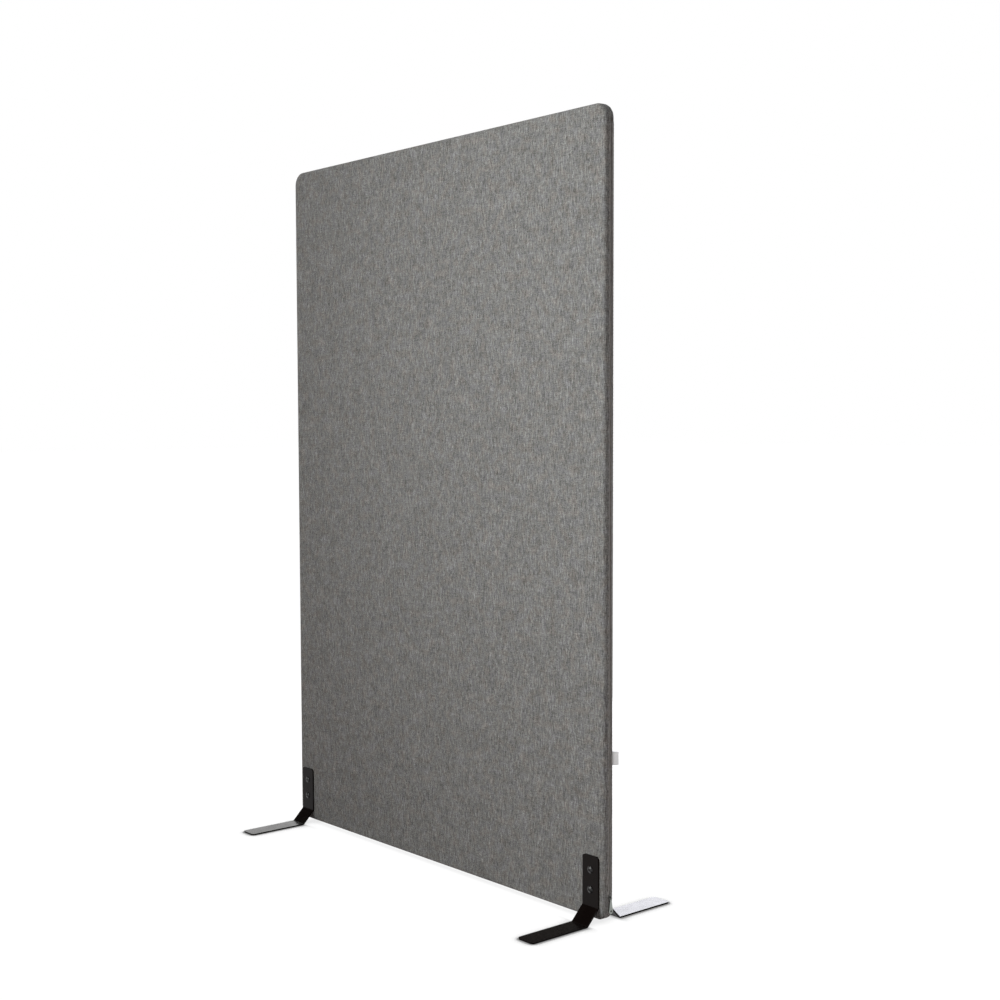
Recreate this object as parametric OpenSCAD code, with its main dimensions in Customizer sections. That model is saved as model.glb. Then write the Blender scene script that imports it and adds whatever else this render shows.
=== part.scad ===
// Free-standing acoustic divider screen: a fabric-covered panel on four bent steel feet.
// X runs along the panel, the front faces -Y, Z = 0 is the floor under the middle of the panel.

/* [Panel] */
// Width of the covered panel
panel_w = 1219; // [800:1:1600]
// Height of the covered panel
panel_h = 1829; // [1200:1:2200]
// Gap between the floor and the panel's lower edge
floor_gap = 9; // [6:0.5:20]
// Radius of the panel's four corners, seen from the front
corner_r = 34; // [30:1:80]
// Radius of the soft edge between a face and the side
edge_r = 8; // [7:0.5:10]

/* [Build-up] */
// Thickness of the wooden frame and of the fibre batt inside it
frame_t = 18; // [16:0.5:22]
// Thickness of the felt board on each face
facing_t = 5; // [4:0.5:8]
// Thickness of the fabric cover
cover_t = 0.7; // [0.6:0.1:1]
// Ease between soft pieces and what carries them
soft_gap = 0.3; // [0.2:0.05:0.4]
// Width of the upright frame members
stile_w = 70; // [60:1:90]
// Width of the level frame members
rail_w = 56; // [50:1:60]

/* [Frame screws] */
// Diameter of the screws in the corner laps
screw_d = 4; // [3:0.5:5]
// Diameter of the countersunk screw heads
screw_head_d = 8; // [7:0.5:10]
// Length of the screws
screw_l = 16; // [12:1:18]

/* [Feet] */
// Width of the steel strap
strap_w = 50; // [40:1:60]
// Thickness of the steel strap
strap_t = 4; // [3:0.5:5]
// Distance from the panel's end to the near edge of a foot
foot_inset = 15; // [10:1:30]
// Height of the upper bend above the floor
bend_h = 38; // [30:1:50]
// Height of the upright plate above the upper bend
plate_h = 117; // [100:1:160]
// Slope of the strap between its two bends, from level
bend_angle = 45; // [35:1:55]
// Length of the level part that stands on the floor
tread_l = 168; // [120:1:220]
// Radius inside each bend
bend_r = 5; // [3:0.5:8]
// Radius of the strap's outer corners
strap_corner_r = 8; // [4:0.5:12]

/* [Through bolts] */
// Diameter of the bolts
bolt_d = 6; // [5:0.5:6]
// Outer diameter of the sleeve nuts that the bolts screw into
sleeve_d = 8; // [7.5:0.5:9]
// Outer diameter of the spacer tubes in the panel
spacer_d = 12; // [11:0.5:14]
// Diameter of the domed heads
head_d = 17; // [15:0.5:20]
// Height of the domed heads
head_h = 4; // [3:0.5:5]
// Size of the hexagon recess across its flats
recess_af = 5; // [4:0.5:6]
// Depth of the hexagon recess
recess_depth = 2.2; // [1.5:0.1:2.5]
// Distance from the top of the upright plate to the upper bolt
bolt_drop = 33; // [25:1:40]
// Distance between the two bolts of a foot
bolt_pitch = 46; // [35:1:60]
// Length of thread that a bolt and its sleeve nut share
thread_overlap = 18; // [12:1:22]
// Clearance all round a bolt or a tube in its hole
hole_gap = 0.1; // [0.05:0.05:0.2]
// Clearance all round a thread
thread_gap = 0.05; // [0.02:0.01:0.08]

/* [Zip] */
// Distance of the zip behind the panel's middle plane
zip_offset = 4; // [2:0.5:4]
// Thickness of the zip tapes
tape_t = 0.6; // [0.4:0.1:0.8]
// Width of the front tape
tape_w = 10; // [8:0.5:12]
// Width of the closed row of teeth
chain_w = 6; // [5:0.5:6.5]
// Height of the row of teeth
chain_h = 2.6; // [2.2:0.1:3]
// Gap between the two rows of teeth, where the slider's post runs
chain_slot = 1.2; // [1:0.1:1.4]
// Length of the stops at both ends of the teeth
stop_l = 2.5; // [2:0.5:3]
// Thickness of the stops over the teeth
stop_wall = 0.5; // [0.4:0.1:0.8]
// Length of fabric between the corner and the end of the zip opening
zip_end = 7; // [1:0.5:20]

/* [Slider] */
// Length of the slider
slider_l = 15; // [13:0.5:18]
// Width of the slider
slider_w = 8.6; // [8.2:0.1:9]
// Thickness of the slider's two wings
wing_t = 1.2; // [1:0.1:1.5]
// Width of the post that joins the wings
post_w = 0.8; // [0.6:0.1:0.9]
// Length of the post along the zip
post_l = 3; // [2:0.5:4]
// Running clearance all round the slider
run_gap = 0.25; // [0.15:0.05:0.3]
// Free play between the slider and a stop
stop_gap = 0.2; // [0.1:0.1:0.5]
// Length of the bridge that holds the pull
bridge_l = 8; // [7:0.5:10]
// Width of the bridge
bridge_w = 2.2; // [1.8:0.1:2.6]
// Thickness of the bridge's bow
bridge_t = 1.1; // [0.9:0.1:1.3]

/* [Pull] */
// Length from the pull's cross bar to its round end
pull_l = 37; // [28:0.5:45]
// Width of the pull's round end
pull_w = 12; // [10:0.5:12]
// Thickness of the pull, and diameter of its cross bar
pull_t = 1.6; // [1.2:0.1:2]
// Diameter of the hole in the round end
pull_hole_d = 5; // [4:0.5:6]
// Width of the pull's neck
pull_neck_w = 4.5; // [4:0.5:6]
// Width of the two side bars round the bridge
pull_side_w = 1.5; // [1.2:0.1:2]
// Clearance between the pull and the bridge
pull_gap = 0.4; // [0.3:0.05:0.5]

/* [Label] */
// Height of the side label
label_h = 31; // [20:1:50]
// Distance that the label stands out of the cover
label_proj = 17; // [10:0.5:20]
// Thickness of the folded label
label_t = 1.2; // [0.8:0.1:1.4]
// Height of the label's lower edge above the panel's lower edge
label_z = 357; // [100:1:1200]
// Gap between the label and the path of the pull
label_gap = 0.5; // [0.3:0.1:1]

/* [Hidden] */
$fn = 96;

// Overrun of every cut past the face that it opens
over = 1;
// Overlap by which the stretches of one steel piece run into each other
weld = strap_t / 40;
// Thickness of the whole panel
panel_t = frame_t + 2 * (facing_t + soft_gap + cover_t);
panel_mid_z = floor_gap + panel_h / 2;
panel_end = panel_w / 2;
panel_face = panel_t / 2;
corner_x = panel_end - corner_r;
corner_dz = panel_h / 2 - corner_r;

// Inset of the felt boards, and of the frame's arrises, from the outside of the cover
board_inset = cover_t + soft_gap;
edge_mid = panel_face - edge_r;
frame_inset = edge_r - sqrt(pow(edge_r - board_inset, 2) - pow(max(0, frame_t / 2 - edge_mid), 2));
frame_end = panel_end - frame_inset;
frame_half_h = panel_h / 2 - frame_inset;
frame_corner_r = corner_r - frame_inset;

// Feet: places of the bends and the bolts
foot_x = panel_end - foot_inset - strap_w / 2;
plate_top_z = bend_h + plate_h;
upper_turn = 90 - bend_angle;
upper_setback = bend_r * tan(upper_turn / 2);
lower_setback = bend_r * tan(bend_angle / 2);
slope_run = (bend_h - strap_t) / tan(bend_angle);
slope_l = (bend_h - strap_t) / sin(bend_angle);
bolt_zs = [plate_top_z - bolt_drop - bolt_pitch, plate_top_z - bolt_drop];
grip = panel_t + 2 * strap_t;
shank_l = grip / 2 + thread_overlap / 2;
head_rim_share = 0.25;
rim_h = head_h * head_rim_share;
dome_h = head_h - rim_h;
dome_r = (pow(head_d / 2, 2) + pow(dome_h, 2)) / (2 * dome_h);

// Zip: places along X, from the outside of the cover inwards
tape_out = panel_end - cover_t;
tape_in = tape_out - tape_t;
chain_x = (tape_out + tape_in) / 2;
chain_in = chain_x - chain_h / 2;
// Slider: heights of the inner and outer face of its wings, from the middle of the teeth
wing_seat = chain_h / 2 + run_gap;
wing_top = wing_seat + wing_t;
channel_floor = chain_x - wing_top - run_gap;
tape_edge = chain_slot / 2 + (chain_w - chain_slot) / 4;
tape_front_y = zip_offset - tape_w;
tape_rear_y = edge_mid + edge_r * sin(45);
lip_gap = slider_w + 2 * soft_gap;

// Zip: places along Z, from the bottom up
zip_z0 = floor_gap + corner_r;
zip_z1 = floor_gap + panel_h - corner_r;
slot_z0 = zip_z0 + zip_end;
slot_z1 = zip_z1 - zip_end;
teeth_z0 = slot_z0 + lip_gap / 2 - stop_l;
teeth_z1 = slot_z1 - lip_gap / 2 + stop_l;
slider_z0 = teeth_z0 + stop_l + stop_gap;

// Pull: its cross bar turns in the middle of the bridge
bridge_hole_h = pull_t + 2 * pull_gap;
bridge_h = bridge_hole_h + bridge_t;
pivot_x = chain_x + wing_top + bridge_hole_h / 2;
pivot_z = slider_z0 + slider_l / 2;
window_w = bridge_w + 2 * pull_gap;
window_l = bridge_l / 2 + pull_gap;
yoke_w = window_w + 2 * pull_side_w;
yoke_l = window_l + pull_side_w;
eye_dist = pull_l - pull_w / 2;

label_y0 = zip_offset + pull_w / 2 + label_gap;
label_z0 = floor_gap + label_z;

// Section through a slab with rounded edges, of half length a, at an inset from the cover's outside
module slab_section(a, inset) {
    r = edge_r - inset;
    square([2 * (a - inset - r), 2 * (panel_face - inset)], center = true);
    square([2 * (a - inset), 2 * edge_mid], center = true);
    for (sx = [-1, 1], sy = [-1, 1])
        translate([sx * (a - inset - r), sy * edge_mid]) circle(r);
}

// Half section through one round corner of the slab
module corner_section(inset) {
    r = edge_r - inset;
    flat_r = corner_r - edge_r;
    translate([0, -panel_face + inset]) square([flat_r, 2 * (panel_face - inset)]);
    translate([0, -edge_mid]) square([corner_r - inset, 2 * edge_mid]);
    for (sy = [-1, 1])
        translate([flat_r, sy * edge_mid]) circle(r);
}

// The panel's solid outline, drawn in by an inset on every side
module slab(inset) {
    translate([0, 0, panel_mid_z]) {
        linear_extrude(2 * corner_dz, center = true) slab_section(panel_end, inset);
        rotate([0, 90, 0])
            linear_extrude(2 * corner_x, center = true) slab_section(panel_h / 2, inset);
        for (k = [0 : 3])
            translate([(k == 0 || k == 3 ? 1 : -1) * corner_x, 0, (k < 2 ? 1 : -1) * corner_dz])
                rotate([90, 0, 0]) rotate([0, 0, 90 * k])
                    rotate_extrude(angle = 90) corner_section(inset);
    }
}

// A block as wide and high as the panel, between two distances from its middle plane
module y_layer(y0, y1) {
    translate([-panel_end - over, y0, floor_gap - over])
        cube([panel_w + 2 * over, y1 - y0, panel_h + 2 * over]);
}

// Places its children on the axis of every bolt, in the middle plane: each bolt holds two feet
module at_bolts() {
    for (sx = [-1, 1], z = bolt_zs)
        translate([sx * foot_x, 0, z]) children();
}

// Holes for the spacer tubes through the whole panel
module spacer_holes() {
    at_bolts() rotate([90, 0, 0])
        cylinder(d = spacer_d + 2 * hole_gap, h = panel_t + 2 * over, center = true);
}

// The frame's outline from the front, with its round corners
module frame_outline() {
    square([2 * (frame_end - frame_corner_r), 2 * frame_half_h], center = true);
    square([2 * frame_end, 2 * (frame_half_h - frame_corner_r)], center = true);
    for (sx = [-1, 1], sz = [-1, 1])
        translate([sx * (frame_end - frame_corner_r), sz * (frame_half_h - frame_corner_r)])
            circle(frame_corner_r);
}

// The part of the frame between x0 and x1, z0 and z1 about the panel's middle, and y0 and y1
module frame_piece(x0, x1, z0, z1, y0, y1) {
    translate([0, y1, panel_mid_z]) rotate([90, 0, 0]) linear_extrude(y1 - y0)
        intersection() {
            frame_outline();
            translate([x0, z0]) square([x1 - x0, z1 - z0]);
        }
}

// Places its children at the two screws of each corner lap
module at_lap_screws() {
    for (sx = [-1, 1], sz = [-1, 1], side = [-1, 1])
        translate([
            sx * (frame_end - stile_w / 2 + side * stile_w / 4), -frame_t / 2,
            panel_mid_z + sz * (frame_half_h - rail_w / 2 - side * rail_w / 4)
        ]) children();
}

// A countersunk screw along +Y, wider all round by an ease and longer by the same
module lap_screw(ease) {
    rotate([-90, 0, 0]) {
        cylinder(d = screw_d + 2 * ease, h = screw_l + ease);
        cylinder(d1 = screw_head_d + 2 * ease, d2 = screw_d + 2 * ease, h = (screw_head_d - screw_d) / 2);
    }
}

// A level member, sz = 1 at the top and -1 at the bottom: it has the front half of each lap
module rail(sz) {
    z0 = sz > 0 ? frame_half_h - rail_w : -frame_half_h;
    lap_x = frame_end - stile_w;
    difference() {
        union() {
            frame_piece(-frame_end, frame_end, z0, z0 + rail_w, -frame_t / 2, 0);
            frame_piece(-lap_x, lap_x, z0, z0 + rail_w, -frame_t / 2, frame_t / 2);
        }
        at_lap_screws() lap_screw(hole_gap);
        spacer_holes();
        zip_room();
    }
}

// An upright member, sx = 1 at the right and -1 at the left: it has the rear half of each lap
module stile(sx) {
    x0 = sx > 0 ? frame_end - stile_w : -frame_end;
    lap_z = frame_half_h - rail_w;
    difference() {
        union() {
            frame_piece(x0, x0 + stile_w, -frame_half_h, frame_half_h, 0, frame_t / 2);
            frame_piece(x0, x0 + stile_w, -lap_z, lap_z, -frame_t / 2, frame_t / 2);
        }
        at_lap_screws() lap_screw(hole_gap);
        spacer_holes();
        zip_room();
    }
}

module frame_top_rail() { color("burlywood") rail(1); }

module frame_bottom_rail() { color("burlywood") rail(-1); }

module frame_left_stile() { color("tan") stile(-1); }

module frame_right_stile() { color("tan") stile(1); }

module corner_screws() { color("goldenrod") at_lap_screws() lap_screw(0); }

module acoustic_core() {
    color("khaki") translate([0, 0, panel_mid_z])
        cube([
            2 * (frame_end - stile_w - soft_gap), frame_t, 2 * (frame_half_h - rail_w - soft_gap)
        ], center = true);
}

// The felt board between two distances from the middle plane
module facing(y0, y1) {
    difference() {
        intersection() {
            slab(board_inset);
            y_layer(y0, y1);
        }
        spacer_holes();
        zip_room();
    }
}

module front_facing() { color("lightgray") facing(-panel_t, -frame_t / 2); }

module rear_facing() { color("lightgray") facing(frame_t / 2, panel_t); }

// The opening in the cover over the zip, with round ends
module zip_opening() {
    translate([0, zip_offset, 0]) rotate([0, -90, 180]) linear_extrude(panel_w) {
        for (z = [slot_z0 + lip_gap / 2, slot_z1 - lip_gap / 2])
            translate([z, 0]) circle(lip_gap / 2);
        translate([slot_z0 + lip_gap / 2, -lip_gap / 2])
            square([slot_z1 - slot_z0 - lip_gap, lip_gap]);
    }
}

// The part of the cover between two distances from the middle plane
module cover(y0, y1) {
    difference() {
        intersection() {
            slab(0);
            y_layer(y0, y1);
        }
        slab(cover_t);
        spacer_holes();
        zip_opening();
    }
}

module cover_front() { color("gray") cover(-panel_t, zip_offset); }

module cover_rear() {
    color("dimgray") difference() {
        cover(zip_offset, panel_t);
        label_fold();
    }
}

// The folded label, from inside the cover's edge to its round fold
module label_fold() {
    reach = panel_end + label_proj - label_t / 2;
    translate([0, label_y0, label_z0]) linear_extrude(label_h) {
        translate([panel_end - edge_r, 0]) square([reach - panel_end + edge_r, label_t]);
        translate([reach, label_t / 2]) circle(d = label_t);
    }
}

module side_label() {
    color("whitesmoke") difference() {
        label_fold();
        slab(cover_t);
    }
}

// A strap outline that runs from zero up to a rounded end at length l
module strap_end(l) {
    translate([-strap_w / 2, 0]) square([strap_w, l - strap_corner_r]);
    translate([-strap_w / 2 + strap_corner_r, l / 2]) square([strap_w - 2 * strap_corner_r, l / 2]);
    for (sx = [-1, 1])
        translate([sx * (strap_w / 2 - strap_corner_r), l - strap_corner_r]) circle(strap_corner_r);
}

// Side view of a bend that starts at angle a0 and turns by an angle
module bend_section(a0, turn) {
    outer_r = bend_r + strap_t;
    intersection() {
        difference() {
            circle(outer_r);
            circle(bend_r);
        }
        polygon([
            [0, 0],
            for (share = [0, 1 / 2, 1]) 2 * outer_r * [cos(a0 + share * turn), sin(a0 + share * turn)]
        ]);
    }
}

// Side view of the two bends and the slope between them, with the panel's face at zero
module slope_section() {
    translate([strap_t + bend_r, bend_h + upper_setback]) bend_section(180, upper_turn);
    translate([strap_t, bend_h]) rotate(-bend_angle) translate([upper_setback - weld, -strap_t])
        square([slope_l - upper_setback - lower_setback + 2 * weld, strap_t]);
    translate([strap_t + slope_run + lower_setback, strap_t + bend_r])
        bend_section(270 - bend_angle, bend_angle);
}

// A foot in front of the panel, at x = 0
module foot() {
    plate_z = bend_h + upper_setback;
    translate([0, -panel_face, 0]) {
        translate([0, 0, plate_z]) rotate([90, 0, 0]) linear_extrude(strap_t) difference() {
            strap_end(plate_h - upper_setback);
            for (z = bolt_zs) translate([0, z - plate_z]) circle(d = sleeve_d + 2 * hole_gap);
        }
        rotate([90, 0, -90]) linear_extrude(strap_w, center = true) slope_section();
        translate([0, -(strap_t + slope_run + lower_setback), 0]) rotate([0, 0, 180])
            linear_extrude(strap_t) strap_end(tread_l - lower_setback);
    }
}

module foot_front_left() { color("black") translate([-foot_x, 0, 0]) foot(); }

module foot_front_right() { color("black") translate([foot_x, 0, 0]) foot(); }

module foot_rear_left() { color("black") translate([-foot_x, 0, 0]) mirror([0, 1, 0]) foot(); }

module foot_rear_right() { color("black") translate([foot_x, 0, 0]) mirror([0, 1, 0]) foot(); }

// A domed head that stands on z = 0, with a hexagon recess
module domed_head() {
    difference() {
        rotate_extrude() {
            square([head_d / 2, rim_h]);
            intersection() {
                translate([0, head_h - dome_r]) circle(dome_r);
                translate([0, rim_h]) square([head_d / 2, dome_h]);
            }
        }
        translate([0, 0, head_h - recess_depth])
            cylinder(d = recess_af / cos(30), h = recess_depth + over, $fn = 6);
    }
}

module foot_bolts() {
    color("dimgray") at_bolts() translate([0, -grip / 2, 0]) rotate([90, 0, 0]) {
        domed_head();
        translate([0, 0, -shank_l]) cylinder(d = bolt_d, h = shank_l);
    }
}

module sleeve_nuts() {
    color("dimgray") at_bolts() translate([0, grip / 2, 0]) rotate([-90, 0, 0]) {
        domed_head();
        translate([0, 0, -shank_l]) difference() {
            cylinder(d = sleeve_d, h = shank_l);
            translate([0, 0, -over]) cylinder(d = bolt_d + 2 * thread_gap, h = shank_l + over);
        }
    }
}

module bolt_spacers() {
    color("silver") at_bolts() rotate([90, 0, 0]) difference() {
        cylinder(d = spacer_d, h = panel_t, center = true);
        cylinder(d = sleeve_d + 2 * hole_gap, h = panel_t + 2 * over, center = true);
    }
}

// Section of a layer under the cover's right edge, between two insets and two distances y
module edge_layer(inset0, inset1, y0, y1) {
    intersection() {
        difference() {
            slab_section(panel_end, inset0);
            slab_section(panel_end, inset1);
        }
        translate([panel_end - edge_r, y0]) square([edge_r, y1 - y0]);
    }
}

// Section of one tape, side = -1 for the front one and 1 for the rear one
module tape_section(side) {
    y_edge = zip_offset + side * tape_edge;
    edge_layer(
        cover_t, cover_t + tape_t,
        side < 0 ? tape_front_y : y_edge, side < 0 ? y_edge : tape_rear_y
    );
}

module zip_tape(side) {
    translate([0, 0, zip_z0]) linear_extrude(zip_z1 - zip_z0) tape_section(side);
}

module zip_tape_front() { color("#202020") zip_tape(-1); }

module zip_tape_rear() { color("#202020") zip_tape(1); }

// Section of one row of teeth, closed over the edge of its tape
module teeth_section(side) {
    y0 = side < 0 ? zip_offset - chain_w / 2 : zip_offset + chain_slot / 2;
    difference() {
        translate([chain_in, y0]) square([chain_h, (chain_w - chain_slot) / 2]);
        tape_section(side);
    }
}

module zip_teeth(side) {
    translate([0, 0, teeth_z0]) linear_extrude(teeth_z1 - teeth_z0) teeth_section(side);
}

module zip_teeth_front() { color("#303030") zip_teeth(-1); }

module zip_teeth_rear() { color("#303030") zip_teeth(1); }

// A stop clamped round both rows of teeth from z0 up
module zip_stop(z0) {
    w = chain_w + 2 * stop_wall;
    translate([0, 0, z0]) linear_extrude(stop_l) difference() {
        translate([chain_in - stop_wall, zip_offset - w / 2]) square([chain_h + 2 * stop_wall, w]);
        for (side = [-1, 1]) {
            teeth_section(side);
            tape_section(side);
        }
    }
}

module zip_bottom_stop() { color("#404040") zip_stop(teeth_z0); }

module zip_top_stop() { color("#404040") zip_stop(teeth_z1 - stop_l); }

// Room in the wood and the felt for the tapes and for the slider's lower wing
module zip_room() {
    channel_w = slider_w + 2 * run_gap;
    translate([0, 0, zip_z0 - soft_gap]) linear_extrude(zip_z1 - zip_z0 + 2 * soft_gap) {
        edge_layer(0, cover_t + tape_t + soft_gap, tape_front_y - soft_gap, tape_rear_y + soft_gap);
        translate([channel_floor, zip_offset - channel_w / 2])
            square([panel_end - channel_floor, channel_w]);
    }
}

// Section of the slider about the middle of the teeth: two wings with turned edges
module slider_section() {
    flange_x = tape_t / 2 + run_gap;
    flange_y = chain_w / 2 + run_gap;
    for (x = [-wing_top, wing_seat])
        translate([x, -slider_w / 2]) square([wing_t, slider_w]);
    for (x = [-wing_top, flange_x], y = [-slider_w / 2, flange_y])
        translate([x, y]) square([wing_top - flange_x, slider_w / 2 - flange_y]);
}

// A rectangle about zero with round corners
module rounded_rect(w, l, r) {
    square([w - 2 * r, l], center = true);
    square([w, l - 2 * r], center = true);
    for (sx = [-1, 1], sy = [-1, 1])
        translate([sx * (w / 2 - r), sy * (l / 2 - r)]) circle(r);
}

// Side view of the bridge, standing on the upper wing at y = 0
module bridge_section() {
    hole_l = bridge_l - 2 * bridge_t;
    difference() {
        translate([0, bridge_h / 4]) rounded_rect(bridge_l, bridge_h * 3 / 2, bridge_t);
        translate([-bridge_l, -bridge_h]) square([2 * bridge_l, bridge_h - weld]);
        translate([0, bridge_hole_h / 2 - bridge_h / 4])
            rounded_rect(hole_l, bridge_hole_h + bridge_h / 2, bridge_t / 2);
    }
}

module zip_slider() {
    post_h = 2 * (wing_seat + weld);
    color("#484848") translate([chain_x, zip_offset, slider_z0]) {
        intersection() {
            linear_extrude(slider_l) slider_section();
            translate([0, 0, slider_l / 2]) rotate([0, 90, 0])
                linear_extrude(2 * slider_w, center = true) rounded_rect(slider_l, slider_w, slider_w / 4);
        }
        translate([-post_h / 2, -post_w / 2, 0]) cube([post_h, post_w, post_l]);
        translate([wing_top, 0, slider_l / 2]) rotate([90, 90, 0])
            linear_extrude(bridge_w, center = true) bridge_section();
    }
}

// The angle, from level, at which a line from a point touches a circle of radius r about zero
function touch_angle(p, r) = atan2(p[1], p[0]) - acos(r / norm(p));

// Outline of the pull, hanging from its cross bar at zero
module pull_outline() {
    a = touch_angle([pull_neck_w / 2, eye_dist - yoke_l], pull_w / 2);
    touch = pull_w / 2 * [cos(a), sin(a)];
    difference() {
        union() {
            translate([-yoke_w / 2, -yoke_l]) square([yoke_w, yoke_l]);
            polygon([
                [-pull_neck_w / 2, -yoke_l], [-touch[0], touch[1] - eye_dist],
                [touch[0], touch[1] - eye_dist], [pull_neck_w / 2, -yoke_l]
            ]);
            translate([0, -eye_dist]) circle(pull_w / 2);
        }
        translate([-window_w / 2, -window_l]) square([window_w, window_l + over]);
        translate([0, -eye_dist]) circle(d = pull_hole_d);
    }
}

module zip_pull() {
    color("silver") translate([pivot_x, zip_offset, pivot_z]) {
        rotate([90, 0, 90]) linear_extrude(pull_t, center = true) pull_outline();
        rotate([90, 0, 0]) cylinder(d = pull_t, h = yoke_w, center = true);
    }
}

frame_top_rail();
frame_bottom_rail();
frame_left_stile();
frame_right_stile();
corner_screws();
acoustic_core();
front_facing();
rear_facing();
cover_front();
cover_rear();
foot_front_left();
foot_front_right();
foot_rear_left();
foot_rear_right();
foot_bolts();
sleeve_nuts();
bolt_spacers();
zip_tape_front();
zip_tape_rear();
zip_teeth_front();
zip_teeth_rear();
zip_bottom_stop();
zip_top_stop();
zip_slider();
zip_pull();
side_label();
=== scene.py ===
"""Looks of a free-standing acoustic divider screen: a heathered cloth cover over a framed panel,
closed by a zip in the right-hand edge, on four bent steel feet held by through bolts.

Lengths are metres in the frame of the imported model: X along the panel, -Y its front, Z = 0 the
floor.
"""

import functools
import logging
import math
from collections.abc import Callable, Iterable, Mapping, Sequence
from dataclasses import dataclass, field
from enum import Enum

import bmesh
import bpy
import numpy as np
from mathutils import Matrix, Vector, noise


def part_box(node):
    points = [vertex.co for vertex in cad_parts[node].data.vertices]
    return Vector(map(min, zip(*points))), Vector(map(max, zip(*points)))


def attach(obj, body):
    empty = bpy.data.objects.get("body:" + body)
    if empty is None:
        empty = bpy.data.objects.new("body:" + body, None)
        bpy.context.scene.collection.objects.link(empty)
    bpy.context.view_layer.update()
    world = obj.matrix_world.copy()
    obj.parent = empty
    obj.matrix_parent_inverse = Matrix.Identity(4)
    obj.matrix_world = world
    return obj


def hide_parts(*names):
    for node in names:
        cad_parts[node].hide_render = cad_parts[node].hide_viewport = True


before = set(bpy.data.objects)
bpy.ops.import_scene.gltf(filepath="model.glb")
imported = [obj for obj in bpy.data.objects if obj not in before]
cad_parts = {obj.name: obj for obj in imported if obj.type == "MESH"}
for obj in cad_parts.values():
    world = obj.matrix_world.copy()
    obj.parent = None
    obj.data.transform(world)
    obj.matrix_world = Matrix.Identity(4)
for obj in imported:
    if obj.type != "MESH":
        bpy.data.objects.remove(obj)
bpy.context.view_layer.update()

logging.basicConfig(level=logging.INFO, format="%(message)s")
log = logging.getLogger("divider_screen")

MM = 0.001
TINY = 1e-9
CLOSE = 1e-6
FLAT_MAP = "flat"
NOISE_BULK = (0.3, 0.7)  # where most of a noise's values lie
FULL = (0.0, 1.0)
FINE = 3.0  # the octaves of a noise that shows fine structure
QUARTER = 90.0  # degrees
EDGE_SAMPLES = 4
EDGE_TURN = (0.99, 0.85)  # how much of the normal a rounded edge keeps: mask starts, mask full
WELD = 0.005 * MM
FLAT_WITHIN = math.radians(0.6)
ROUND_PAST = math.radians(32)
SHARP_PAST = math.radians(38)

Triple = tuple[float, float, float]
Colour = Triple
Span = tuple[float, float]
Array = np.ndarray
Length = np.ndarray | float
Piece = bpy.types.Object
Node = bpy.types.Node
Socket = bpy.types.NodeSocket


class Side(Enum):
    """The two faces of the panel, by the sign of their y."""

    FRONT = -1
    REAR = 1

    @property
    def word(self) -> str:
        """The face's word in the names of pieces and nodes."""
        return self.name.lower()


class Body(Enum):
    """The bodies that pieces ride on."""

    PANEL = "panel"
    SLIDER = "zip_slider"
    PULL = "zip_pull"


class Grain(Enum):
    """The ways that a board's grain runs, by the number of the axis."""

    LEVEL = 0
    UP = 2


# ---------------------------------------------------------------- node trees


class Value:
    """An output of a node; + - * / on it add Math nodes."""

    def __init__(self, graph: "Graph", socket: Socket) -> None:
        """Keeps the graph and the output."""
        self.graph, self.socket = graph, socket

    def __add__(self, other: "Value | float") -> "Value":
        """The sum with a value or number."""
        return self.graph.math("ADD", self, other)

    def __sub__(self, other: "Value | float") -> "Value":
        """The difference from a value or number."""
        return self.graph.math("SUBTRACT", self, other)

    def __rsub__(self, other: float) -> "Value":
        """A number less this value."""
        return self.graph.math("SUBTRACT", other, self)

    def __mul__(self, other: "Value | float") -> "Value":
        """The product with a value or number."""
        return self.graph.math("MULTIPLY", self, other)

    def __truediv__(self, other: "Value | float") -> "Value":
        """The quotient by a value or number."""
        return self.graph.math("DIVIDE", self, other)


Number = Value | float
Inputs = Mapping[str | int, object]


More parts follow.
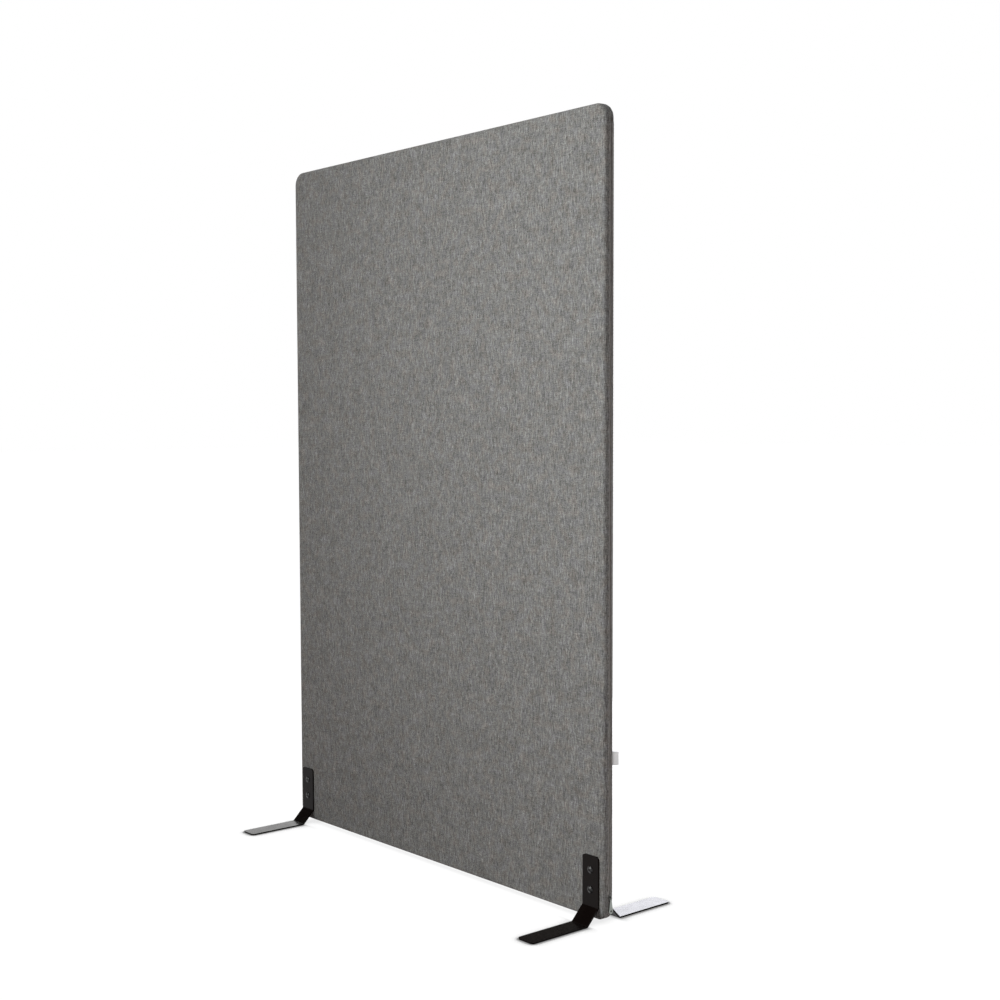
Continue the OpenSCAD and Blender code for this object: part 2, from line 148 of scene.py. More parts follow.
class Graph:
    """Adds nodes to one node tree and links them."""

    def __init__(self, tree: bpy.types.NodeTree) -> None:
        """Keeps the tree that the nodes go into."""
        self.tree = tree

    def link(self, value: Value, socket: Socket) -> None:
        """Links a value to a node's input."""
        self.tree.links.new(value.socket, socket)

    def add(self, kind: str, inputs: Inputs | None = None, **options: object) -> Node:
        """Adds a node.

        Args:
            kind: Blender's name of the node type.
            inputs: what each input gets, by its name or number.
            options: the node's own settings.

        Returns:
            The new node.
        """
        node = self.tree.nodes.new(kind)
        for name, value in options.items():
            setattr(node, name, value)
        for name, value in (inputs or {}).items():
            if isinstance(value, Value):
                self.link(value, node.inputs[name])
            else:
                node.inputs[name].default_value = value
        return node

    def get(self, kind: str, inputs: Inputs | None = None, output: str | int = 0,
            **options: object) -> Value:
        """Adds a node as add does, and gives one of its outputs by its name or number."""
        return Value(self, self.add(kind, inputs, **options).outputs[output])

    def outputs(self, kind: str, inputs: Inputs | None = None) -> dict[str, Value]:
        """Adds a node as add does, and gives all its outputs by their names."""
        return {out.name: Value(self, out) for out in self.add(kind, inputs).outputs}

    def math(self, operation: str, *values: Number) -> Value:
        """Adds a Math node of an operation on some values, in their order."""
        return self.get("ShaderNodeMath", dict(enumerate(values)), operation=operation)

    def point(self, x: Number, y: Number, z: Number) -> Value:
        """Joins three numbers or values into a vector."""
        return self.get("ShaderNodeCombineXYZ", {0: x, 1: y, 2: z})

    def parts(self, vector: Value) -> list[Value]:
        """Splits a vector into its three numbers."""
        return list(self.outputs("ShaderNodeSeparateXYZ", {0: vector}).values())

    def place(self) -> Value:
        """The Object coordinates of the shaded point."""
        return self.get("ShaderNodeTexCoord", output="Object")

    def noise(self, vector: Value, scale: float, detail: float = 2.0,
              stretch: Triple | None = None) -> Value:
        """Adds a noise texture.

        Args:
            vector: where it is read.
            scale: its features per metre.
            detail: its octaves.
            stretch: factors on the three axes, where the features aren't round.

        Returns:
            Its value, from 0 to 1.
        """
        if stretch:
            vector = self.get("ShaderNodeMapping", {"Vector": vector, "Scale": stretch})
        return self.get("ShaderNodeTexNoise", {"Vector": vector, "Scale": scale, "Detail": detail})

    def remap(self, value: Value, old: Span, new: Span) -> Value:
        """Maps a value from one range to another.

        Args:
            value: the value.
            old: its own range.
            new: the range that it is brought to.

        Returns:
            The new value, clamped to its range.
        """
        ends = dict(zip(("From Min", "From Max", "To Min", "To Max"), (*old, *new)))
        return self.get("ShaderNodeMapRange", {"Value": value, **ends})

    def ramp(self, value: Value, stops: Sequence[tuple[float, Colour]]) -> Value:
        """Turns a value into a colour.

        Args:
            value: the value.
            stops: places from 0 to 1 and their colours.

        Returns:
            The colour.
        """
        node = self.add("ShaderNodeValToRGB", {0: value})
        elements = node.color_ramp.elements
        while len(elements) < len(stops):
            elements.new(1.0)
        for element, (place, colour) in zip(elements, stops):
            element.position = place
            element.color = (*colour, 1.0)
        return Value(self, node.outputs[0])

    def mix(self, share: Number, first: Value | Colour, second: Value | Colour,
            blend: str = "MIX") -> Value:
        """Mixes two colours.

        Args:
            share: how much of the second.
            first: the first colour.
            second: the second colour.
            blend: the way that they mix.

        Returns:
            The mixed colour.
        """
        # the node has an A and a B for each kind of data, so its inputs go by number
        first, second = ((*c, 1.0) if isinstance(c, tuple) else c for c in (first, second))
        return self.get("ShaderNodeMix", {0: share, 6: first, 7: second}, 2,
                        data_type="RGBA", blend_type=blend)

    def pick(self, share: Value, first: Value, second: Value) -> Value:
        """Goes from the first value to the second as the share goes from 0 to 1."""
        return self.get("ShaderNodeMix", {0: share, 2: first, 3: second})

    def ridges(self, run: Value, pitch: float) -> Value:
        """Round ridges, from 0 to 1 high, that repeat at a pitch along a run."""
        return self.math("SINE", self.math("FRACT", run / pitch) * math.pi)

    def bump(self, height: Value, depth: float, strength: float) -> Value:
        """A normal that is tilted by a height, depth metres high at 1."""
        return self.get("ShaderNodeBump", {
            "Height": height, "Distance": depth, "Strength": strength})

    def edge_mask(self, radius: float) -> Value:
        """Finds the sharp edges.

        Args:
            radius: how far from an edge it still shows.

        Returns:
            A value near 1 by a sharp edge and 0 elsewhere.
        """
        rounded = self.get("ShaderNodeBevel", {"Radius": radius}, samples=EDGE_SAMPLES)
        normal = self.get("ShaderNodeNewGeometry", output="Normal")
        dot = self.get("ShaderNodeVectorMath", {0: rounded, 1: normal}, "Value",
                       operation="DOT_PRODUCT")
        return self.remap(dot, EDGE_TURN, FULL)


# ---------------------------------------------------------------- finishes


def scaled(colour: Colour, share: float) -> Colour:
    """A colour made lighter or darker by a share."""
    return tuple(min(1.0, share * c) for c in colour)


@dataclass(frozen=True)
class Finish:
    """A surface: its name and the settings that are the same all over it."""

    name: str
    roughness: float = 0.5
    metallic: float = 0.0
    specular: float = 0.5
    sheen: float = 0.0

    def paint(self, graph: Graph) -> dict[str, Value]:
        """Makes what varies over the surface, by the shader's inputs; each finish has its own."""
        raise NotImplementedError

    @functools.cache
    def material(self) -> bpy.types.Material:
        """Makes the Blender material, once for each finish.

        Returns:
            The material.
        """
        made = bpy.data.materials.new(self.name)
        made.use_nodes = True
        graph = Graph(made.node_tree)
        shader = made.node_tree.nodes["Principled BSDF"]
        settings = {
            "Roughness": self.roughness, "Metallic": self.metallic,
            "Specular IOR Level": self.specular, "Sheen Weight": self.sheen,
        }
        for name, value in settings.items():
            shader.inputs[name].default_value = value
        for name, value in self.paint(graph).items():
            graph.link(value, shader.inputs[name])
        return made


@dataclass(frozen=True)
class Yarn:
    """How one set of yarns changes its shade."""

    slub: float
    gain: float
    drift: float


@dataclass(frozen=True)
class HeatherCloth(Finish):
    """Plain-woven heathered cloth: every yarn changes its grey along its own length."""

    pitch: float = 0.88 * MM
    wander: float = 0.2 * MM
    wander_scale: float = 60.0
    wander_span: Span = (0.25, 0.75)
    yarn_round: float = 0.55
    weave_rise: float = 0.36
    warp: Yarn = Yarn(slub=12.5 * MM, gain=2.1, drift=0.62)
    weft: Yarn = Yarn(slub=6 * MM, gain=1.2, drift=0.34)
    yarn_skip: float = 7.371
    yarn_layer: float = 0.37
    yarn_detail: float = 1.5
    drift_slub: float = 38 * MM
    drift_skip: float = 0.6
    drift_layer: float = 13.0
    drift_detail: float = 1.0
    cloud_scale: float = 24.0
    cloud_lay: Triple = (1.0, 0.7, 1.0)
    cloud_share: float = 0.03
    fibre_skip: float = 7.0
    fibre_share: float = 0.09
    fibre_rise: float = 0.3
    tint_scale: float = 42.0
    # the yarn heights over which the painted shade between yarns runs, and its darkest and
    # lightest shares
    hollow: Span = (0.2, 0.85)
    hollow_shade: Span = (0.42, 1.12)
    relief: float = 0.2 * MM
    relief_share: float = 0.5
    shades: tuple[tuple[float, Colour], ...] = (
        (0.08, (0.045, 0.043, 0.041)),
        (0.36, (0.120, 0.117, 0.113)),
        (0.52, (0.196, 0.193, 0.188)),
        (0.72, (0.330, 0.328, 0.322)),
        (0.95, (0.520, 0.518, 0.510)),
    )
    tints: tuple[tuple[float, Colour], ...] = (
        (0.36, (0.978, 0.966, 0.925)),
        (0.50, (0.948, 0.987, 0.970)),
        (0.64, (0.940, 0.975, 0.998)),
    )

    def crown(self, graph: Graph, at: Value, phase: Value, sign: float) -> Value:
        """Shapes a yarn: round across, and rising and dipping over and under the others.

        Args:
            graph: the material's graph.
            at: the place across the yarns, counted in yarns.
            phase: the place along the yarn, shifted by its number.
            sign: 1 for the warp and -1 for the weft.

        Returns:
            Its height.
        """
        across = graph.math("POWER", graph.ridges(at, 1.0), self.yarn_round)
        wave = graph.math("COSINE", (phase - 0.5) * math.pi)
        return across * (wave * (sign * self.weave_rise) + (1 - self.weave_rise))

    def shade(self, graph: Graph, yarn: Yarn, number: Value, run: Value) -> Value:
        """Shades a yarn: its own slubs, and a slow change that it shares with its neighbours.

        Args:
            graph: the material's graph.
            yarn: the set that it belongs to.
            number: its number in the set.
            run: the place along it.

        Returns:
            Its shade.
        """
        own = graph.noise(graph.point(number * self.yarn_skip, run / yarn.slub, self.yarn_layer),
                          1.0, self.yarn_detail)
        slow = graph.noise(graph.point(number * self.drift_skip, run / self.drift_slub,
                                       self.drift_layer * yarn.drift), 1.0, self.drift_detail)
        drift = graph.remap(slow, FULL, (-yarn.drift / 2, yarn.drift / 2))
        return (own - 0.5) * yarn.gain + 0.5 + drift

    def paint(self, graph: Graph) -> dict[str, Value]:
        """Paints the yarns from the piece's flat map, with the weave's relief, and painted shade
        that darkens the hollows between yarns and lightens their crowns a little.

        Args:
            graph: the material's graph.

        Returns:
            Colour and normal.
        """
        flat = graph.get("ShaderNodeUVMap", uv_map=FLAT_MAP)
        across, along, _ = graph.parts(flat)
        sway = graph.remap(graph.noise(flat, self.wander_scale), self.wander_span,
                           (-self.wander, self.wander))
        warp_at, weft_at = (across + sway) / self.pitch, (along - sway) / self.pitch
        warp_no, weft_no = graph.math("FLOOR", warp_at), graph.math("FLOOR", weft_at)
        warp_up = self.crown(graph, warp_at, weft_at + warp_no, 1.0)
        weft_up = self.crown(graph, weft_at, warp_at + weft_no, -1.0)
        over = graph.math("GREATER_THAN", warp_up, weft_up)

        warp = self.shade(graph, self.warp, warp_no, along)
        weft = self.shade(graph, self.weft, weft_no, across)
        cloud = graph.noise(flat, self.cloud_scale, FINE, self.cloud_lay)
        side, run = graph.pick(over, weft_at, warp_at), graph.pick(over, warp_at, weft_at)
        fibre = graph.noise(graph.point(side * self.fibre_skip, run + side, 0.0), 1.0)
        shade = graph.pick(over, weft, warp)
        for grain, share in ((cloud, self.cloud_share), (fibre, self.fibre_share)):
            shade = shade + graph.remap(grain, NOISE_BULK, (-share, share))

        tint = graph.ramp(graph.noise(flat, self.tint_scale), self.tints)
        height = graph.math("MAXIMUM", warp_up, weft_up)
        # painted shade: darker in the hollows between yarns, a little lighter on their crowns
        painted_weave_shade = graph.remap(height, self.hollow, self.hollow_shade)
        colour = graph.mix(1.0, graph.ramp(shade, self.shades), tint, "MULTIPLY")
        colour = graph.mix(1.0, colour, graph.point(painted_weave_shade, painted_weave_shade, painted_weave_shade), "MULTIPLY")
        fuzz = fibre * self.fibre_rise + height
        return {"Base Color": colour,
                "Normal": graph.bump(fuzz, self.relief, self.relief_share)}


@dataclass(frozen=True)
class Ribbed(Finish):
    """Threads in close ridges, which tape, sewing thread and ribbon lay each in their own way."""

    colour: Colour = (0.34, 0.33, 0.31)
    pitch: float = 0.55 * MM
    ridge_share: float = 0.6
    cloud_share: float = 0.4
    cloud_scale: float = 90.0
    cloud_detail: float = 2.0
    # the ramp's darker and lighter ends, shared by the painted ridge shade and the cloud
    darker: float = 0.6
    lighter: float = 1.0
    stops: Span = (0.1, 0.7)
    relief: float = 0.08 * MM
    relief_share: float = 0.5

    def run(self, graph: Graph) -> Value:
        """The length along which the ridges repeat."""
        raise NotImplementedError

    def paint(self, graph: Graph) -> dict[str, Value]:
        """Paints the ridges, with painted shade in the grooves between them and painted light on
        their crowns, and a few dull stretches.

        Args:
            graph: the material's graph.

        Returns:
            Colour and normal.
        """
        height = graph.ridges(self.run(graph), self.pitch)
        cloud = graph.noise(graph.place(), self.cloud_scale, self.cloud_detail)
        # painted shade and light: the ridges' height darkens the grooves and lightens the crowns;
        # the cloud is the thread's own uneven tone
        shade = height * self.ridge_share + cloud * self.cloud_share
        ends = (scaled(self.colour, self.darker), scaled(self.colour, self.lighter))
        return {"Base Color": graph.ramp(shade, tuple(zip(self.stops, ends))),
                "Normal": graph.bump(height, self.relief, self.relief_share)}


@dataclass(frozen=True)
class TapeWeave(Ribbed):
    """Close herringbone tape of a zip, whose ribs change their slope every few millimetres."""

    zigzag: float = 2.0 * MM

    def run(self, graph: Graph) -> Value:
        """The length along which the ribs repeat."""
        _, y, z = graph.parts(graph.place())
        return z + graph.math("PINGPONG", y, self.zigzag)


@dataclass(frozen=True)
class Thread(Ribbed):
    """Twisted sewing thread."""

    slant: float = 1.5

    def run(self, graph: Graph) -> Value:
        """The length along which the strands repeat."""
        x, y, z = graph.parts(graph.place())
        return z + (x + y) * self.slant


@dataclass(frozen=True)
class Satin(Ribbed):
    """Woven satin ribbon of the label, with level ribs."""

    def run(self, graph: Graph) -> Value:
        """The length along which the ribs repeat."""
        return graph.parts(graph.place())[2]


@dataclass(frozen=True)
class Coated(Finish):
    """Baked or plated coat over steel: a fine grain, and a trace of wear along its edges."""

    colour: Colour = (0.0042, 0.0024, 0.0019)
    worn: Colour = (0.02, 0.02, 0.02)
    grain: float = 1500.0
    grain_depth: float = 0.005 * MM
    grain_share: float = 0.35
    cloud_scale: float = 45.0
    cloud_light: float = 1.25
    scuff_scale: float = 260.0
    scuff_reach: float = 0.9 * MM
    scuff_span: tuple[Span, Span] = ((0.4, 0.65), (0.1, 1.0))
    scuff_dull: float = 0.2
    gloss_range: Span = (0.2, 0.28)
    wear: float = 0.5

    def paint(self, graph: Graph) -> dict[str, Value]:
        """Paints the grain, the uneven gloss and the edges.

        Args:
            graph: the material's graph.

        Returns:
            Colour, roughness and normal.
        """
        place = graph.place()
        cloud = graph.noise(place, self.cloud_scale, FINE)
        scuff = graph.remap(graph.noise(place, self.scuff_scale, FINE), *self.scuff_span)
        share = graph.edge_mask(self.scuff_reach) * scuff * self.wear
        shade = graph.mix(graph.remap(cloud, NOISE_BULK, FULL), self.colour,
                          scaled(self.colour, self.cloud_light))
        return {
            "Base Color": graph.mix(share, shade, self.worn),
            "Roughness": (share * self.scuff_dull
                          + graph.remap(cloud, NOISE_BULK, self.gloss_range)),
            "Normal": graph.bump(graph.noise(place, self.grain), self.grain_depth,
                                 self.grain_share),
        }


@dataclass(frozen=True)
class Metal(Finish):
    """Bare or plated metal with fine lines along one axis."""

    colour: Colour = (0.62, 0.61, 0.59)
    dull: Colour = (0.42, 0.41, 0.40)
    lines: Triple = (1.0, 1.0, 0.04)
    line_scale: float = 2200.0
    line_depth: float = 0.01 * MM
    line_share: float = 0.4
    stain_scale: float = 170.0
    stain_span: Span = (0.35, 0.7)
    edge_reach: float = 0.4 * MM
    edge_share: float = 0.6
    edge_light: float = 1.2
    gloss_range: Span = (0.2, 0.4)

    def paint(self, graph: Graph) -> dict[str, Value]:
        """Paints the drawn lines, duller patches and brighter edges.

        Args:
            graph: the material's graph.

        Returns:
            Colour, roughness and normal.
        """
        place = graph.place()
        line = graph.noise(place, self.line_scale, stretch=self.lines)
        stain = graph.remap(graph.noise(place, self.stain_scale, FINE), self.stain_span, FULL)
        colour = graph.mix(graph.edge_mask(self.edge_reach) * self.edge_share,
                           graph.mix(stain, self.colour, self.dull),
                           scaled(self.colour, self.edge_light))
        return {
            "Base Color": colour,
            "Roughness": graph.remap(line, NOISE_BULK, self.gloss_range),
            "Normal": graph.bump(line, self.line_depth, self.line_share),
        }


@dataclass(frozen=True)
class Timber(Finish):
    """Planed softwood with its grain along one axis."""

    grain: Grain = Grain.UP
    light: Colour = (0.60, 0.42, 0.24)
    dark: Colour = (0.36, 0.21, 0.10)
    along_grain: float = 0.05
    rings: float = 130.0
    ring_slant: float = 0.6
    ring_bend: float = 14.0
    ring_edge: float = 2.5
    ring_share: float = 0.7
    fibre_share: float = 0.35
    bend_scale: float = 9.0
    fibre_scale: float = 900.0
    stops: Span = (0.1, 0.95)
    relief: float = 0.06 * MM
    relief_share: float = 0.5

    def paint(self, graph: Graph) -> dict[str, Value]:
        """Paints the growth rings and the fine fibres.

        Args:
            graph: the material's graph.

        Returns:
            Colour and normal.
        """
        place = graph.place()
        parts = graph.parts(place)
        squeeze = tuple(self.along_grain if k == self.grain.value else 1.0 for k in range(3))
        bend = graph.noise(place, self.bend_scale, stretch=squeeze)
        across = parts[2 - self.grain.value] + parts[1] * self.ring_slant
        ring = graph.math("POWER", graph.math(
            "FRACT", across * self.rings + bend * self.ring_bend), self.ring_edge)
        fibre = graph.noise(place, self.fibre_scale, FINE, squeeze)
        shade = ring * self.ring_share + fibre * self.fibre_share
        ends = tuple(zip(self.stops, (self.light, self.dark)))
        return {"Base Color": graph.ramp(shade, ends),
                "Normal": graph.bump(shade, self.relief, self.relief_share)}


@dataclass(frozen=True)
class Fibres(Finish):
    """Matted fibres: pressed felt or loose batt."""

    light: Colour = (0.42, 0.42, 0.41)
    dark: Colour = (0.20, 0.20, 0.20)
    scale: float = 700.0
    tangle_detail: float = 5.0
    strand_share: float = 0.4
    strand_lay: Triple = (1.0, 0.4, 0.12)
    stops: Span = (0.36, 0.62)
    depth: float = 0.3 * MM
    depth_share: float = 0.8

    def paint(self, graph: Graph) -> dict[str, Value]:
        """Paints tangled fibres of several shades and their relief.

        Args:
            graph: the material's graph.

        Returns:
            Colour and normal.
        """
        place = graph.place()
        tangle = graph.noise(place, self.scale, self.tangle_detail)
        strands = graph.noise(place, self.scale * self.strand_share, FINE, self.strand_lay)
        shade = (tangle + strands) * 0.5
        ends = tuple(zip(self.stops, (self.dark, self.light)))
        return {"Base Color": graph.ramp(shade, ends),
                "Normal": graph.bump(shade, self.depth, self.depth_share)}


CLOTH = HeatherCloth("cover_heather_cloth", roughness=0.93, specular=0.18, sheen=0.12)
TAPE = TapeWeave("zip_tape_weave", roughness=0.85, specular=0.25, colour=(0.34, 0.325, 0.31),
                 pitch=0.7 * MM, ridge_share=0.45, cloud_share=0.5, cloud_scale=1400.0,
                 darker=0.55, lighter=1.5, stops=(0.1, 0.85), relief=0.12 * MM, relief_share=0.6)
THREAD = Thread("hem_thread", roughness=0.6, specular=0.35)
LABEL = Satin("label_satin", roughness=0.55, sheen=0.15, colour=(0.915, 0.955, 0.965),
              pitch=0.45 * MM, ridge_share=0.35, cloud_share=0.7, cloud_scale=220.0,
              cloud_detail=3.0, darker=0.92, stops=(0.2, 0.6), relief=0.06 * MM)
FOOT_COAT = Coated("foot_powder_coat", specular=0.08, wear=0.25)
BOLT_COAT = Coated("bolt_black_oxide", colour=(0.003, 0.003, 0.003), worn=(0.05, 0.05, 0.05),
                   specular=0.42, grain=900.0, gloss_range=(0.22, 0.28), wear=0.4)
TEETH = Metal("zip_teeth_gunmetal", metallic=0.6, colour=(0.33, 0.32, 0.31),
              dull=(0.20, 0.192, 0.185), gloss_range=(0.4, 0.6))
STOPS = Metal("zip_stop_gunmetal", metallic=0.8, colour=(0.16, 0.155, 0.15),
              dull=(0.08, 0.078, 0.075), gloss_range=(0.28, 0.45))
SLIDER = Metal("slider_dark_nickel", metallic=0.85, colour=(0.20, 0.195, 0.19),
               dull=(0.10, 0.098, 0.095), gloss_range=(0.22, 0.38))
PULL = Metal("pull_bright_nickel", metallic=0.9, colour=(0.30, 0.32, 0.30),
             dull=(0.20, 0.215, 0.20), gloss_range=(0.22, 0.36))
ZINC = Metal("spacer_zinc", metallic=1.0)
BRASS = Metal("screw_yellow_zinc", metallic=1.0, colour=(0.62, 0.50, 0.26),
              dull=(0.42, 0.33, 0.16))
TIMBER_UP = Timber("stile_softwood", roughness=0.6, grain=Grain.UP)
TIMBER_LEVEL = Timber("rail_softwood", roughness=0.6, grain=Grain.LEVEL)
FELT = Fibres("felt_board", roughness=0.95, specular=0.15)
BATT = Fibres("fibre_batt", roughness=0.95, specular=0.1, light=(0.72, 0.68, 0.52),
              dark=(0.42, 0.38, 0.26), scale=420.0, depth=0.8 * MM)


# ---------------------------------------------------------------- meshes


def in_scene(name: str, data: bpy.types.ID) -> Piece:
    """Makes an object at the origin.

    Args:
        name: its name.
        data: its mesh, lamp or camera.

    Returns:
        The object, linked to the scene.
    """
    made = bpy.data.objects.new(name, data)
    bpy.context.scene.collection.objects.link(made)
    return made


def shape_object(name: str, shape: bmesh.types.BMesh) -> Piece:
    """Makes a mesh object of a bmesh and frees the bmesh.

    Args:
        name: the piece's name.
        shape: the bmesh.

    Returns:
        The object.
    """
    mesh = bpy.data.meshes.new(name)
    shape.to_mesh(mesh)
    shape.free()
    return in_scene(name, mesh)


def mesh_object(name: str, points: Array | Sequence, faces: Iterable[Sequence[int]],
                flat: Array | None = None) -> Piece:
    """Makes a mesh object at the origin.

    Args:
        name: the piece's name.
        points: its points in metres.
        faces: point numbers of each face.
        flat: the place of each point on the flat cloth, where it has one.

    Returns:
        The object, shaded smooth.
    """
    mesh = bpy.data.meshes.new(name)
    mesh.from_pydata([tuple(map(float, p)) for p in points], [], [tuple(f) for f in faces])
    mesh.validate()
    if flat is not None:
        layer = mesh.uv_layers.new(name=FLAT_MAP)
        loops = np.zeros(len(mesh.loops), np.int32)
        mesh.loops.foreach_get("vertex_index", loops)
        layer.data.foreach_set("uv", flat[loops].astype(np.float32).ravel())
    mesh.shade_smooth()
    return in_scene(name, mesh)


def grid_faces(rows: int, size: int, closed: bool = False) -> list[list[int]]:
    """Joins the points of a grid.

    Args:
        rows: how many rows it has.
        size: how many points a row has.
        closed: whether each row comes round to its start.

    Returns:
        Point numbers of each face.
    """
    return [[a * size + k, a * size + (k + 1) % size, (a + 1) * size + (k + 1) % size,
             (a + 1) * size + k] for a in range(rows - 1) for k in range(size - (not closed))]


def settle(piece: Piece) -> Piece:
    """Turns what a piece's modifiers make into its plain mesh, and removes them.

    Args:
        piece: the object with live modifiers.

    Returns:
        The same object.
    """
    evaluated = piece.evaluated_get(bpy.context.evaluated_depsgraph_get())
    mesh = bpy.data.meshes.new_from_object(evaluated)
    mesh.name = piece.name
    piece.modifiers.clear()
    old, piece.data = piece.data, mesh
    bpy.data.meshes.remove(old)
    return piece


def thickened(piece: Piece, thickness: float, offset: float) -> Piece:
    """Gives a sheet its thickness.

    Args:
        piece: the sheet, a single layer of faces.
        thickness: how thick it gets.
        offset: -1 to grow inwards, 0 to grow both ways.

    Returns:
        The same object.
    """
    wall = piece.modifiers.new("wall", "SOLIDIFY")
    wall.thickness, wall.offset = thickness, offset
    return settle(piece)


def dress(piece: Piece, finish: Finish, slot: str, body: Body, *nodes: str) -> Piece:
    """Gives a piece its material and its place in the model.

    Args:
        piece: the finished piece.
        finish: its surface.
        slot: the record's material slot; not used.
        body: the body that it rides on.
        nodes: the CAD nodes that it stands for.

    Returns:
        The piece.
    """
    piece.data.materials.clear()
    piece.data.materials.append(finish.material())
    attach(piece, body.value)
    if nodes:
        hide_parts(*nodes)
    log.info("%s: %d faces, %s, on %s", piece.name, len(piece.data.polygons), finish.name,
             body.value)
    return piece


def softened(node: str, name: str, radius: float, segments: int = 2) -> Piece:
    """Makes a copy of a CAD node with its sharp edges rounded.

    Args:
        node: the CAD node.
        name: the copy's name.
        radius: the rounding's width.
        segments: the rounding's steps.

    Returns:
        The copy as a plain mesh.
    """
    shape = bmesh.new()
    shape.from_mesh(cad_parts[node].data)
    bmesh.ops.remove_doubles(shape, verts=shape.verts, dist=WELD)
    bmesh.ops.dissolve_limit(shape, angle_limit=FLAT_WITHIN, verts=shape.verts,
                             edges=shape.edges, delimit={"NORMAL"})
    piece = shape_object(name, shape)
    bevel = piece.modifiers.new("round", "BEVEL")
    bevel.width, bevel.segments = radius, segments
    bevel.limit_method, bevel.angle_limit = "ANGLE", ROUND_PAST
    bevel.use_clamp_overlap = True
    settle(piece)
    piece.data.shade_smooth()
    piece.data.set_sharp_from_angle(angle=SHARP_PAST)
    normals = piece.modifiers.new("flat_faces", "WEIGHTED_NORMAL")
    normals.keep_sharp = True
    return settle(piece)


class PathRepeater:
    """A Geometry Nodes tree that sets copies of one small piece along a path, at an even pitch."""

    def __init__(self) -> None:
        """Builds the tree with its named inputs."""
        kinds = {"Path": "Geometry", "Unit": "Object", "Pitch": "Float", "Facing": "Vector",
                 "Turn": "Vector", "Growth": "Float", "Seed": "Int", "Finish": "Material"}
        self.tree = bpy.data.node_groups.new("copies_along_a_path", "GeometryNodeTree")
        face = self.tree.interface
        self.inputs = {
            label: face.new_socket(label, in_out="INPUT",
                                   socket_type=f"NodeSocket{kind}").identifier
            for label, kind in kinds.items()}
        face.new_socket("Result", in_out="OUTPUT", socket_type="NodeSocketGeometry")
        graph = Graph(self.tree)
        given = graph.outputs("NodeGroupInput")
        curve = graph.get("GeometryNodeMeshToCurve", {"Mesh": given["Path"]})
        beads = graph.get("GeometryNodeResampleCurve",
                          {"Curve": curve, "Length": given["Pitch"]}, mode="LENGTH")
        aligned = graph.get("FunctionNodeAlignRotationToVector",
                            {"Vector": graph.get("GeometryNodeInputTangent")}, axis="Z")
        faced = graph.get("FunctionNodeAlignRotationToVector",
                          {"Rotation": aligned, "Vector": given["Facing"]},
                          axis="X", pivot_axis="Z")
        low = graph.get("ShaderNodeVectorMath", {0: given["Turn"], "Scale": -1.0},
                        operation="SCALE")
        chance = graph.get("FunctionNodeRandomValue",
                           {0: low, 1: given["Turn"], "Seed": given["Seed"]},
                           data_type="FLOAT_VECTOR")
        swing = graph.get("FunctionNodeEulerToRotation", {0: chance})
        turned = graph.get("FunctionNodeRotateRotation",
                           {"Rotation": faced, "Rotate By": swing}, rotation_space="LOCAL")
        size = graph.get("FunctionNodeRandomValue",
                         {2: 1.0 - given["Growth"], 3: given["Growth"] + 1.0,
                          "Seed": given["Seed"]}, 1, data_type="FLOAT")
        unit = graph.get("GeometryNodeObjectInfo", {"Object": given["Unit"]}, "Geometry")
        set_out = graph.get("GeometryNodeInstanceOnPoints", {
            "Points": beads, "Instance": unit, "Rotation": turned, "Scale": size})
        real = graph.get("GeometryNodeRealizeInstances", {0: set_out})
        coated = graph.get("GeometryNodeSetMaterial",
                           {"Geometry": real, "Material": given["Finish"]})
        graph.add("NodeGroupOutput", {0: coated})

    def along(self, name: str, path: Sequence[Sequence[float]], unit: Piece,
              pitch: float, finish: Finish, facing: Triple = (1.0, 0.0, 0.0),
              turn: Triple = (0.0, 0.0, 0.0), growth: float = 0.0,
              seed: int = 1) -> Piece:
        """Sets copies of a unit along a path, and removes the unit.

        Args:
            name: the new piece's name.
            path: points that the copies follow.
            unit: the piece to copy, whose Z runs along the path and X faces out.
            pitch: the distance between copies.
            finish: their surface.
            facing: where their X points.
            turn: the most that a copy is turned about its axes, in radians.
            growth: the most that a copy grows or shrinks, as a share.
            seed: the seed of both.

        Returns:
            The piece as a plain mesh.
        """
        line = bpy.data.meshes.new(name)
        line.from_pydata([tuple(p) for p in path], [(k, k + 1) for k in range(len(path) - 1)], [])
        piece = in_scene(name, line)
        modifier = piece.modifiers.new("copies", "NODES")
        modifier.node_group = self.tree
        for label, value in {"Unit": unit, "Pitch": pitch, "Facing": facing, "Turn": turn,
                             "Growth": growth, "Seed": seed, "Finish": finish.material()}.items():
            modifier[self.inputs[label]] = value
        settle(piece)
        piece.data.shade_smooth()
        bpy.data.objects.remove(unit)
        return piece


def prism(name: str, rings: Array) -> Piece:
    """Makes a closed body from rings of points, with its ends filled.

    Args:
        name: the piece's name.
        rings: points by ring and place round it, each ring turning the same way.

    Returns:
        The object, its faces pointing outwards.
    """
    count, size, _ = rings.shape
    faces = grid_faces(count, size, closed=True)
    faces += [list(range(size))[::-1], [(count - 1) * size + k for k in range(size)]]
    piece = mesh_object(name, rings.reshape(-1, 3), faces)
    shape = bmesh.new()
    shape.from_mesh(piece.data)
    bmesh.ops.recalc_face_normals(shape, faces=shape.faces)
    shape.to_mesh(piece.data)
    shape.free()
    return piece


def smooth_step(value: Length) -> Length:
    """Eases a value from 0 to 1, clamped at both ends."""
    value = np.clip(value, 0.0, 1.0)
    return value * value * (3 - 2 * value)


# ---------------------------------------------------------------- sub-assemblies


